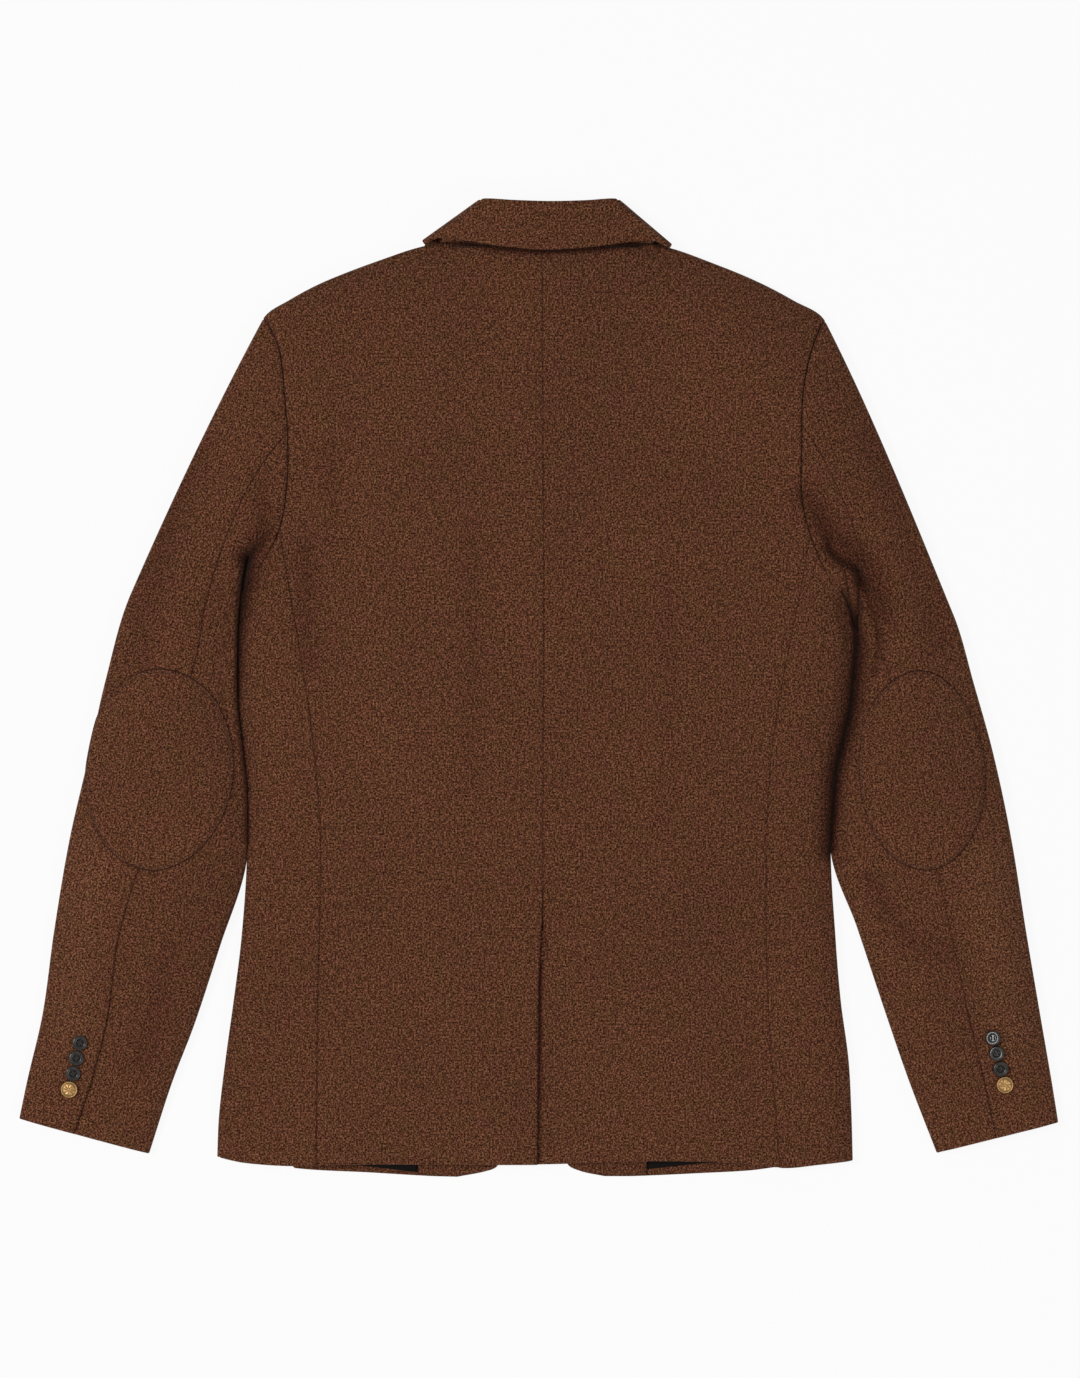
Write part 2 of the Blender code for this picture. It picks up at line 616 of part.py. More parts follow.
def side_body(side):
    """Side body: from the side-back seam round the fold to the side-front seam."""
    fold = side_fold(side)
    at = spread(fold, SEAM_ROWS)
    edge = along(fold, at)
    normal = outward(fold, at, np.array([SIGN[side], 0.0]))
    blend = np.clip(at / 0.6, 0, 1)[:, None]
    normal = (1 - blend) * underarm_normal(side) + blend * normal
    normal /= np.linalg.norm(normal, axis=-1, keepdims=True)
    radius = fold_radius(edge)
    upper_in = inset(edge, normal, radius, FOLD_TOP)
    lower_in = inset(edge, normal, radius, -math.pi / 2)
    seam, front_seam = side_back_seam(side), side_front_seam(side)
    back_line = along(seam, spread(seam, SEAM_ROWS))
    front_line = along(front_seam, spread(front_seam, SEAM_ROWS))
    top = armhole_plan(side, scye_shares(side)[6:], "upper")
    hem = hem_between(back_line[-1, 0], upper_in[-1, 0], len(top))
    points, normals = lifted(np.swapaxes(coons(back_line, upper_in, top, hem), 0, 1), back_height)
    arcs = [fold_arc(edge, normal, radius, angle) for angle in FOLD_STEPS[1:-1]]
    top = armhole_plan(side, UNDER_SCYE, "lower")
    hem = np.linspace(lower_in[-1], front_line[-1], len(top))
    low, low_n = flat(np.swapaxes(coons(lower_in, front_line, top, hem), 0, 1), CLOTH / 2)
    points = np.concatenate([points, np.stack([p for p, _ in arcs], 1), low], 1)
    normals = np.concatenate([normals, np.stack([n for _, n in arcs], 1), low_n], 1)
    return cloth("side_" + side, points, normals, (SEAM, 0.0, SEAM, SEAM))


def front(side):
    """Front: from the side-front seam to the front edge, on the lower layer, with the shoulder's fold."""
    seam = side_front_seam(side)
    low = along(seam, spread(seam, SEAM_ROWS))[::-1]
    outer = np.vstack([low, armhole_plan(side, FRONT_SCYE[-2::-1], "lower")])
    line = np.array(FRONT_EDGE[side], float)[::-1]
    corners = (0, 2, 3, 5, 6, 7, 8, 10)
    steps = (2, 2, 2, 2, 3, 3, 2)
    middle = [line[0]]
    for first, last, count in zip(corners[:-1], corners[1:], steps):
        middle.extend(along(line, np.linspace(first, last, count + 1))[1:])
    edge, normal, radius = (values[::-1] for values in shoulder_edge(side))
    top = inset(edge, normal, radius, -math.pi / 2)
    middle = np.vstack([middle[:-1], top[-1]])
    hem_line = knots(FRONT_HEM[side][:-1], [outer[0]])[::-1]
    bottom = along(hem_line, spread(hem_line, len(top)))
    plan = coons(bottom, top, outer, middle)
    points, normals = flat(plan, 0.0)
    points[..., 2] = CLOTH / 2 + front_lift(plan, side)
    lift = front_lift(edge, side)
    arcs = [fold_arc(edge, normal, radius, angle, lift) for angle in FOLD_STEPS[-2:BACK_TURNS - 1:-1]]
    points = np.concatenate([points, [p for p, _ in arcs]])
    normals = np.concatenate([normals, [n for _, n in arcs]])
    return cloth("front_" + side, points, normals, (0.0, SEAM, SEAM, 0.1))


def lapel(side):
    """The turned part of a front, lying under it."""
    roll, edge = LAPEL[side]
    rows = 9
    inner = straight(roll, rows)
    outer = along(edge, spread(edge, rows))
    points, normals = flat(np.linspace(inner, outer, 6, axis=1), CLOTH / 2)
    return cloth("lapel_" + side, points, normals, (0.0, 0.0, 0.0, 0.0))


def collar_stations():
    """Neck, crease and fall in plan, the way from stand to fall, mid height and half the pitch of the two."""
    found = []
    for _, nx, ny, kx, ky, ox, oy, layer in COLLAR:
        plan = [np.array(p, float) for p in ((nx, ny), (kx, ky), (ox, oy))]
        if layer != "fold":
            up = layer == "upper"
            found.append((plan, np.array([0, 0, 1.0 if up else -1.0]), COLLAR_MID[up], COLLAR_HALF[up]))
            continue
        away = np.array([-0.6 if nx < 0 else 0.6, 0.8])
        angles = np.radians((-65, -35, 0, 35, 65))
        for angle in angles if nx < 0 else angles[::-1]:
            share = (1 + math.sin(angle)) / 2
            half = COLLAR_HALF[0] + (COLLAR_HALF[1] - COLLAR_HALF[0]) * share
            mid = COLLAR_MID[0] + (COLLAR_MID[1] - COLLAR_MID[0]) * share
            retreat = away * COLLAR_ROLL * (1 - math.cos(angle))
            way = np.r_[away * math.cos(angle), math.sin(angle)]
            found.append(([p - retreat for p in plan], way, mid, half))
    return found


def collar():
    """Stand and fall in one, folded along the crease and carried round the neck to both gorges."""
    rows = []
    for (neck, crease, fall), way, mid, half in collar_stations():
        lean = crease - (neck + fall) / 2
        lean = np.r_[lean / np.linalg.norm(lean), 0]
        flat_way = np.r_[way[:2], 0] * half
        root = np.r_[crease, mid] - lean * half - flat_way
        neck = np.r_[neck, mid - way[2] * half]
        fall = np.r_[fall, mid + way[2] * half]
        row = [neck + (root - way * half - neck) * t for t in (0.0, 0.5, 1.0)]
        row += [root + lean * half * math.cos(a) + way * half * math.sin(a) for a in np.radians((-45, 0, 45))]
        at_gorge = 1.0 if neck[1] < 320 else 0.0
        for t, drop in zip((0.0, 0.33, 0.66, 1.0), GORGE_DROP):
            row.append(root + way * half + (fall - root - way * half) * t - np.array([0, drop * at_gorge, 0]))
        rows.append(row)
    points = np.array(rows)
    normals = np.cross(np.gradient(points, axis=0), np.gradient(points, axis=1))
    normals /= np.linalg.norm(normals, axis=-1, keepdims=True)
    return cloth("collar", points, normals, (0.0, 0.0, 0.1, 0.0))


def sleeve(side):
    """Top and under sleeve, seam to seam round each fold."""
    last = len(SLEEVE[side])
    spans = np.r_[0, 0.12, 0.28, 0.46, 0.64, 0.82, np.linspace(1, last, (last - 1) * SLEEVE_ROWS_PER_SPAN + 1)]
    for piece in ("top", "under"):
        points, normals = sleeve_strip(side, spans, piece)
        cloth(piece + "_sleeve_" + side, points, normals, (SEAM, 0.0, SEAM, SEAM))


def elbow_patch(side):
    """Oval patch laid on the sleeve's own points and moved out."""
    centre, reach, width, length = PATCH[side]
    spans = np.linspace(centre - 1.9, centre + 1.9, 39)
    sections = [sleeve_ring(side, span) for span in spans]
    mids = np.array([[np.interp(reach, run, points[:, k]) for k in range(3)] for points, _, run in sections])
    step = np.r_[0.0, np.cumsum(np.linalg.norm(np.diff(mids, axis=0), axis=1))]
    step -= np.interp(centre, spans, step)
    grid = []
    for share in PATCH_RINGS:
        row = []
        for spoke in range(PATCH_SPOKES):
            turn = 2 * math.pi * spoke / PATCH_SPOKES
            x = share * width / 2 * math.cos(turn)
            y = share * length / 2 * math.sin(turn)
            up = x * math.sin(PATCH_TURN[side]) + y * math.cos(PATCH_TURN[side])
            girth = reach + x * math.cos(PATCH_TURN[side]) - y * math.sin(PATCH_TURN[side])
            at = np.interp(-up, step, np.arange(len(spans)))
            i = min(int(at), len(spans) - 2)
            found = [np.array([np.interp(girth, run, values[:, k]) for k in range(3)])
                     for points, normals, run in sections[i:i + 2] for values in (points, normals)]
            f = at - i
            point = found[0] * (1 - f) + found[2] * f
            normal = found[1] * (1 - f) + found[3] * f
            row.append((point, normal / np.linalg.norm(normal)))
        grid.append(row)
    mesh = bmesh.new()
    lifts = (CLOTH / 2 + PATCH_LIFT, CLOTH * 1.5 + PATCH_LIFT)
    layers = []
    for lift in lifts:
        hub = mesh.verts.new((grid[0][0][0] + grid[0][0][1] * lift) * MM)
        rows = [[mesh.verts.new((p + n * lift) * MM) for p, n in row] for row in grid[1:]]
        for k in range(PATCH_SPOKES):
            m = (k + 1) % PATCH_SPOKES
            mesh.faces.new((hub, rows[0][k], rows[0][m]))
            for a, b in zip(rows[:-1], rows[1:]):
                mesh.faces.new((a[k], b[k], b[m], a[m]))
        layers.append(rows[-1])
    for k in range(PATCH_SPOKES):
        m = (k + 1) % PATCH_SPOKES
        mesh.faces.new((layers[0][k], layers[0][m], layers[1][m], layers[1][k]))
    bmesh.ops.recalc_face_normals(mesh, faces=mesh.faces)
    data = bpy.data.meshes.new("elbow_patch_" + side)
    mesh.to_mesh(data)
    mesh.free()
    data.shade_smooth()
    return add_object("elbow_patch_" + side, data, "tweed")


def facing_and_lining(side):
    """Strips on the inside of a front's hem, where the back hem leaves them in sight."""
    s = SIGN[side]
    edge = np.array(FRONT_EDGE[side], float)[::-1]
    hem = knots(FRONT_HEM[side][:-1])
    inner_x = FACING_INNER[side]
    lift = CLOTH / 2 + LAYER
    corner = np.interp(inner_x, hem[:, 0] if s > 0 else hem[::-1, 0],
                       np.arange(len(hem)) if s > 0 else np.arange(len(hem))[::-1])
    bottom = np.vstack([along(hem, np.linspace(corner, 0, 4))[:-1], along(edge, np.linspace(0, 2, 4))])
    bottom[:, 1] += 0.8
    side_line = along(edge, np.linspace(2, 2.5, 4)) + np.array([s * 0.8, 0])
    left_line = np.linspace(bottom[0], [inner_x, FACING_TOP], 4)
    top = np.linspace(left_line[-1], side_line[-1], len(bottom))
    side_line[0] = bottom[-1]
    plan = coons(bottom, top, left_line, side_line)
    points, normals = flat(plan, lift)
    points[..., 2] += front_lift(plan, side)
    cloth("facing_" + side, points, normals, (0.0, 0.0, SEAM, 0.3))
    table = np.array(LINING_EDGE[side], float)
    bottom = straight(table, 6)
    top = np.stack([bottom[:, 0], np.full(6, FACING_TOP)], -1)
    plan = np.linspace(bottom, top, 4)
    points, normals = flat(plan, lift - 0.25)
    points[..., 2] += front_lift(plan, side)
    cloth("lining_" + side, points, normals, (0.0, 0.0, 0.0, SEAM), "lining", 1.4)


def turned(name, profile, material, segments=20):
    """A solid of revolution from a profile that runs down its outer side, top to bottom."""
    mesh = bpy.data.meshes.new(name)
    mesh.from_pydata([(x * MM, 0, z * MM) for x, z in profile], [(i, i + 1) for i in range(len(profile) - 1)], [])
    thing = add_object(name, mesh, material)
    screw = thing.modifiers.new("turn", "SCREW")
    screw.steps = screw.render_steps = segments
    screw.use_merge_vertices = True
    screw.merge_threshold = 0.00001
    return thing


def button(name, diameter, height, material, place, normal, sewn):
    """A turned button set flat on the cloth: a dished four-hole one, or a domed shank one."""
    r = diameter / 2
    if sewn:
        profile = ((0, height * 0.55), (r * 0.52, height * 0.55), (r * 0.68, height), (r * 0.86, height),
                   (r, height * 0.6), (r * 0.9, height * 0.12), (r * 0.7, 0), (0, 0))
    else:
        profile = ((0, height * 0.92), (r * 0.45, height * 0.9), (r * 0.78, height * 0.8), (r * 0.9, height),
                   (r, height * 0.75), (r, height * 0.4), (r * 0.85, height * 0.1), (r * 0.6, 0), (0, 0))
    thing = turned(name, profile, material)
    z = np.array([0, 0, 1.0])
    axis = np.cross(z, normal)
    lean = math.asin(min(1.0, np.linalg.norm(axis)))
    thing.rotation_mode = "AXIS_ANGLE"
    direction = axis / max(np.linalg.norm(axis), 1e-9)
    thing.rotation_axis_angle = (lean, *direction) if lean > 1e-6 else (0, 0, 0, 1)
    thing.location = place * MM
    if sewn:
        pitch = r * 0.24
        for k in range(4):
            turn = math.pi / 4 + k * math.pi / 2
            bpy.ops.mesh.primitive_cylinder_add(vertices=8, radius=r * 0.13 * MM, depth=4 * height * MM)
            cutter = bpy.context.object
            cutter.name = f"{name}_hole_{k + 1}"
            cutter.parent = thing
            cutter.location = (pitch * math.cos(turn) * MM, pitch * math.sin(turn) * MM, 0)
            cutter.display_type = "WIRE"
            cutter.hide_render = True
            for owner in list(cutter.users_collection):
                owner.objects.unlink(cutter)
            bpy.data.collections["cutters"].objects.link(cutter)
            cut = thing.modifiers.new(f"hole {k + 1}", "BOOLEAN")
            cut.object = cutter
    return thing


def cuff_buttons(side):
    heights = (2.6, 2.6, 2.6, 2.9)
    for k, (x, y) in enumerate(CUFF_BUTTONS[side]):
        plan = np.array([[x, y]], float)
        point, normal = lifted(plan, sleeve_height)
        brass = k == 3
        place = point[0] + normal[0] * (CLOTH / 2 + 0.5)
        button(f"cuff_button_{side}_{k + 1}", BRASS_DIAMETER if brass else DARK_DIAMETER, heights[k],
               "brass" if brass else "dark_button", place, normal[0], not brass)


def front_buttons():
    for k, (x, y) in enumerate(FRONT_BUTTONS):
        thing = button(f"front_button_{k + 1}", FRONT_DIAMETER, FRONT_BUTTON_HEIGHT, "dark_button",
                       np.array([x, y, FRONT_BUTTON_HEIGHT], float), np.array([0, 0, 1.0]), True)
        thing.rotation_mode = "XYZ"
        thing.rotation_euler = (math.pi, 0, 0)


def main():
    for thing in list(bpy.data.objects):
        bpy.data.objects.remove(thing, do_unlink=True)
    for name in ("blazer", "cutters"):
        collection = bpy.data.collections.new(name)
        bpy.context.scene.collection.children.link(collection)
    for side in SIGN:
        back(side)
        side_body(side)
        front(side)
        lapel(side)
        facing_and_lining(side)
        sleeve(side)
        elbow_patch(side)
        cuff_buttons(side)
    collar()
    front_buttons()


main()
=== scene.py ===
"""Looks of a two-button tweed blazer laid flat on its front, back up.

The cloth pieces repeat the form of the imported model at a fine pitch, with the creases, rolled edges,
stitches and weave of the real garment. Tables are in millimetres, meshes are made in metres.
"""
import math

import bmesh
import bpy
import numpy as np
from bpy.props import FloatProperty, FloatVectorProperty, PointerProperty
from mathutils import Matrix, Vector


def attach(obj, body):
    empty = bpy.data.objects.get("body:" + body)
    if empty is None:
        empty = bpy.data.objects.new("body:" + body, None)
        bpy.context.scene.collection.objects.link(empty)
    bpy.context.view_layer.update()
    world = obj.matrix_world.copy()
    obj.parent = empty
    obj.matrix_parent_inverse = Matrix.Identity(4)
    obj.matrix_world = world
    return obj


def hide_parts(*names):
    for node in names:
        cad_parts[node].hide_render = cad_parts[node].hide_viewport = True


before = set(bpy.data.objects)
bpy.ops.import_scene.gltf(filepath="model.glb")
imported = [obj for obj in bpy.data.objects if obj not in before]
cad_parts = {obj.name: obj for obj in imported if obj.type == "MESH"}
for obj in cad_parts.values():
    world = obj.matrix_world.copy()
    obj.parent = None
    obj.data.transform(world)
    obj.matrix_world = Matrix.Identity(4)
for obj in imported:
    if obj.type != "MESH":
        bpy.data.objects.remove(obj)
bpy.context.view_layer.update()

bl_info = {
    "name": "Two-button blazer",
    "version": (1, 0, 0),
    "blender": (4, 5, 0),
    "location": "3D View > Sidebar > Blazer",
    "description": "Builds the cloth, patches and buttons of a blazer laid flat",
    "category": "Add Mesh",
}

MM = 0.001
SIGN = {"left": -1.0, "right": 1.0}

# The garment's form, as in the solid model
CLOTH = 2.0                 # wall of every cloth piece
SEAM = 0.12                 # how far a sewn edge reaches into its seam
LAYER = 2.4                 # pitch of two layers that lie on each other
LAP = 3.2                   # pitch where a wide piece laps over another
FOLD_TOP = math.radians(60)  # a fold's arc ends here and the upper layer goes on at its slope
FOLD_FOOT = -math.pi / 2    # a fold's arc begins here, where the lower layer goes on flat
SHOULDER_SEAM = -math.pi / 6  # where the shoulder's fold passes from the back to the front
FOLD_LINES_ROUND = 16       # lines of the mesh round a fold
CROWN = 2.5                 # power of the upper layer's rise away from a fold
LEAST_RISE = 1.5            # least height that the upper layer gains away from a fold

# Height of the cloth by level: y, torso loft, sleeve loft, radius of the folds
LOFT = (
    (-384, 11.5, 12.0, 4.0),
    (-330, 13.0, 15.0, 4.6),
    (-240, 16.5, 20.0, 5.4),
    (-120, 19.5, 25.0, 6.0),
    (20, 22.5, 26.5, 6.5),
    (75, 24.5, 25.5, 6.5),
    (130, 25.5, 25.5, 6.5),
    (250, 26.5, 26.5, 6.8),
    (310, 22.0, 22.0, 6.4),
    (360, 12.0, 12.0, 5.6),
)

# Fold line of each shoulder, neck end first, then the tip: x, y
SHOULDER = {
    "left": ((-74, 350.5), (-92, 347), (-109, 341.9), (-165, 321), (-196, 305), (-216.5, 290)),
    "right": ((87, 350), (107, 345), (127, 337.9), (169, 321), (200, 305), (225.5, 288)),
}
# Armhole seam on the upper layer between the tip and the underarm point: x, y
ARMHOLE = {
    "left": ((-203, 266), (-199, 234), (-196, 195), (-197, 156), (-203, 124), (-216, 99)),
    "right": ((213, 262), (207, 230), (206, 187), (206, 150), (213, 120), (228, 87)),
}
SIDE_BACK_MARK = {"left": 0.5, "right": 0.28}   # how strongly the side-back seam shows, by its hollow and its painted shade
HINDARM_MARK = {"left": 0.7, "right": 0.4}       # how strongly the hindarm seam shows, by its hollow and its painted shade
SCYE_FOOT = 5               # index of the armhole point where the side-back seam begins, tip counted
UNDERARM = {"left": (-233.5, 73), "right": (245, 59)}
# Sleeve spans below the underarm: outer x, y, inner x, y, and the hindarm seam as a share of the
# width from outside
SLEEVE = {
    "left": (
        (-320, 75, -236.9, 45, 0.68),
        (-340, 7, -236.7, -12, 0.62),
        (-354, -56, -229.4, -78, 0.55),
        (-368.5, -119, -230.9, -138, 0.43),
        (-380.5, -190, -250, -202, 0.39),
        (-389.5, -255, -270, -263, 0.425),
        (-401.5, -307, -288, -310, 0.445),
        (-408, -338, -306, -365.5, 0.42),
    ),
    "right": (
        (326, 58, 249, 32, 0.72),
        (342, 4, 245.6, -15, 0.64),
        (357.5, -52, 234.8, -65, 0.56),
        (371.5, -118, 230.8, -130, 0.45),
        (383, -190, 250, -187, 0.45),
        (393.5, -252, 272, -253, 0.465),
        (403, -307, 291, -308, 0.475),
        (408.5, -341, 313, -365, 0.51),
    ),
}
HINDARM_START = {"left": 0.41, "right": 0.36}   # share of the armhole, from the tip
HINDARM_BOW = 0.13                              # how far the seam bows outwards above the first span
FOREARM_SEAM = 0.80                             # share of the width, on the lower layer
# Side fold of the torso below the underarm point: x, y
SIDE_FOLD = {
    "left": ((-235.9, 45), (-235.8, -12), (-228.5, -78), (-228, -138), (-233.5, -197),
             (-239.5, -245), (-246, -292), (-251, -335), (-252.5, -368)),
    "right": ((248, 32), (244.6, -15), (233.8, -65), (229, -128), (233.5, -197),
              (237.5, -245), (243.7, -292), (246, -335), (247, -371)),
}
# Side-back seam from the armhole down: x, y
SIDE_BACK = {
    "left": ((-198, 95), (-187, 30), (-178.5, -25), (-173, -80), (-170.5, -127), (-173, -245),
             (-174.5, -374.5)),
    "right": ((204, 70), (192, 10), (184.5, -35), (180, -87), (178.5, -127), (180, -237),
              (189.5, -376)),
}
NECK_TURN = 2.4              # depth of the back's rows at the neck seam
CENTRE_BACK = ((3, 352), (4.3, 70), (3.3, -160), (2.2, -190), (0.3, -232), (-0.8, -374))
BACK_HEM = ((-252.5, -368), (-230, -372.5), (-193, -375), (-131, -374), (-1, -374), (84, -371.5),
            (148, -372.5), (193, -376.5), (220, -374), (247, -371))
VENT_TOP = -190.0           # where the vent opens
VENT_SLANT = 24.0           # how far down its top edge slants
UNDERLAP = 35.0             # how far the right half runs beneath the left half
# Front, from the neck seam down the neckline and the roll line to the break, the front edge and
# the cutaway
FRONT_EDGE = {
    "left": ((-74, 350.5), (-41, 308), (-36, 302), (-10, 112), (17, -80), (17, -205), (9, -265),
             (-9, -325), (-32, -375), (-41, -379.5), (-64, -384)),
    "right": ((87, 350), (56, 308), (51, 302), (20, 152), (-23, -80), (-23, -205), (-15, -262),
              (3, -322), (22.5, -373.5), (33, -379.5), (52, -383.5)),
}
FRONT_HEM = {
    "left": ((-64, -384), (-85, -383.4), (-131, -380.7), (-193, -377), (-195, -376.8)),
    "right": ((52, -383.5), (76, -383.4), (130, -381), (166, -379), (190, -377)),
}
OVERLAP = ((17, -80), (17, -205), (9, -265), (-3, -300), (-30, -265), (-34, 62), (10, 62))
SIDE_FRONT_INSET = 58.0      # side-front seam, from the fold, on the lower layer
SCYE_HOLLOW = 7.0            # how much deeper the front armhole is cut
# Lapels, on the lower layer: inner edge on the roll line, outer edge, from the gorge down
LAPEL = {
    "left": (((-36, 301.6), (-10, 112), (14.5, -66)),
             ((-127, 271), (-124, 240), (-92, 118), (6, -66))),
    "right": (((51, 301.6), (36, 226), (3.5, 63)),
              ((137, 271), (134, 240), (105, 150), (10.5, 60))),
}
# Collar stations round the neck: neck seam x, y, crease x, y, edge of the fall x, y, and the layer
COLLAR_PLACES = (
    (-38, 309, -35, 306, -110, 305, "lower"),
    (-56, 337, -41, 345, -108, 322, "lower"),
    (-77.5, 357, -46, 383.3, -91, 351, "fold"),
    (-46, 355.8, -43, 383.4, -76, 353, "upper"),
    (-22, 354.6, -18, 382.2, -26, 346.5, "upper"),
    (4, 353.6, 9, 381.4, 4, 344.2, "upper"),
    (34, 354.2, 36, 382, 38, 345.8, "upper"),
    (60, 355.2, 60, 383.4, 88, 351.2, "upper"),
    (90.5, 356, 63, 383.3, 104.5, 348, "fold"),
    (70, 337, 57, 345, 123, 320, "lower"),
    (53, 309, 50, 306, 126, 305, "lower"),
)
GORGE_LEVEL = 320            # the stations below it are the collar's ends
GORGE_DROP = (0.0, 8.5, 15.5, 0.0)  # how far they drop to the gorge seam, from crease to edge
COLLAR_MID = (2.2, 17.2)     # height midway between stand and fall, on the lower and the upper layer
COLLAR_HALF = (1.2, 1.6)     # half the pitch of stand and fall, on the lower and the upper layer
NECK_TUCK = (3.5, 5.0)       # how far the stand's sewn edge goes in under the back's neck, and down
STAND_ROLL = 0.5             # radius of that edge
STAND_LAP = 0.7              # how far it reaches towards the back
COLLAR_ROLL = 5.0            # how far the collar's side folds bulge
# Elbow patches: span number of the centre, distance of the centre from the outer fold, width, length
PATCH = {"left": (2.97, 63.0, 118.0, 160.0), "right": (3.1, 65.0, 98.0, 160.0)}
PATCH_TURN = {"left": math.radians(12), "right": math.radians(14)}   # lean off the sleeve's run
PATCH_EGG = {"left": 0.04, "right": 0.0}        # how much wider the upper half is
PATCH_GAP = 0.2              # air between a patch and its sleeve
PATCH_THICKNESS = 1.45
PATCH_ROLL = 1.1             # radius of the patch's turned edge
PATCH_SPOKES = 168
STITCH_INSET = 2.3           # distance of the stitches from the patch's edge
STITCH = (2.4, 1.2, 0.24)    # length, gap and thickness
STITCH_LEVEL = 0.95          # height of the stitches above the patch's underside
# Buttons of each cuff, from the top down: x, y
CUFF_BUTTONS = {
    "left": ((-359.4, -277.6), (-362.3, -289.6), (-365.0, -301.7), (-368.0, -314.4)),
    "right": ((356.6, -273.9), (359.6, -285.9), (362.5, -298.0), (365.8, -310.7)),
}
# Slopes in x and y by which each cuff button leans on the next, off the sleeve's own
BUTTON_LEAN = {"left": ((0.12, 0.0), (0.10, 0.06), (0.12, -0.03), (0, 0)),
               "right": ((-0.29, 0.13), (-0.21, 0.12), (-0.10, 0.05), (0, 0))}
FRONT_BUTTONS = ((-3, -95), (-3, -200))
FRONT_BUTTON_HEIGHT = 3.5    # above the table
HORN_HEIGHT = 2.6            # thickness of a dark cuff button
BRASS_HEIGHT = 2.9
SHANK = 0.35                 # air between a cuff button and its sleeve
HOLE_PITCH = 0.27            # distance of a button's holes from its middle, as a share of its radius
HOLE_SHARE = 0.115           # radius of a hole, as a share of the button's
# Facing and lining where they show below the back hem: inner x and upper edge, then the lower edge
FACING_INNER = {"left": -94.6, "right": 85.0}
FACING_TOP = -350.0
FACING_INSET = 0.8           # how far the facing stays back from the front's edge
LINING_WALL = 1.2
LINING_ROLL = 0.5
LINING_EDGE = {
    "left": ((-205, -371), (-160, -372.5), (-95.2, -380.3)),
    "right": ((195, -370), (130, -373), (85.6, -377.8)),
}
SEAM_ROLL = 1.3              # radius of an edge that turns into a seam
HEM_ROLL = 1.1               # radius of a free edge
THINNEST = 0.12              # share of the wall that is left at a rolled edge
EDGE_LINES = (0, 0.15, 0.4, 0.8, 1.3, 1.9, 2.6)   # lines of the mesh beside a rolled edge
UNDERSIDE_CELL = 6           # pitch of the mesh on the lower layer
LAPEL_CELL = 5
SEAM_DIP = 0.9               # how far the cloth sinks at a seam
SEAM_WIDTH = 1.5             # half width of that hollow
SEAM_SHADE = 0.67            # painted shade in the groove of the strongest seam
SHADE_WIDTH = 0.9            # half width of a seam's painted shade
ARMHOLE_DIP = 1.6            # how far the sleeve sinks beside the armhole
COLLAR_SINK = 3.4            # how far the back sinks under the collar's edge
UPPER_LAYER = (7, 5)         # height above which a hollow of the upper layer begins, and its fade
# How far the sleeve and the side press towards each other, down from the underarm
TOUCH = {"left": (0.55, 0.55, 0.6, 1.3), "right": (0.6, 0.55, 0.55, 0.85)}
CUFF_VENT = -238.0           # where the cuff's vent begins
CUFF_STEP = 0.75             # how far the top sleeve stands over the under sleeve there
SLEEVE_GRAIN = {"left": -0.30, "right": 0.30}   # turn of the sleeves' yarns
# Waves of the upper layer: height, size along x and y, seed
WAVES = ((0.55, (46, 70), 3), (0.22, (19, 31), 8))
# Valleys between a sleeve and the side: width of the slope on the sleeve and on the side, share of the
# fold's radius left, and a line of rows with x, y and the reach of the painted shade on both, which
# stands for the shadow deep in the valley
VALLEYS = {
    "left": (4.0, 13.0, 0.45,
             ((-230.5, 99, 2.0, 11.0), (-232.5, 88, 2.0, 12.0), (-234.5, 73, 1.6, 10.0),
              (-236.4, 45, 1.4, 6.5), (-236.2, -12, 1.2, 2.8), (-228.9, -78, 1.2, 2.2),
              (-228.8, -120, 1.2, 1.8))),
    "right": (17.0, 15.0, 0.38,
              ((243.5, 66, 3.5, 1.5), (248, 50, 6.5, 1.8), (248.6, 32, 9.0, 3.0),
               (245, -15, 8.5, 5.5), (234.3, -65, 6.0, 8.0), (230.2, -128, 3.5, 7.0))),
}
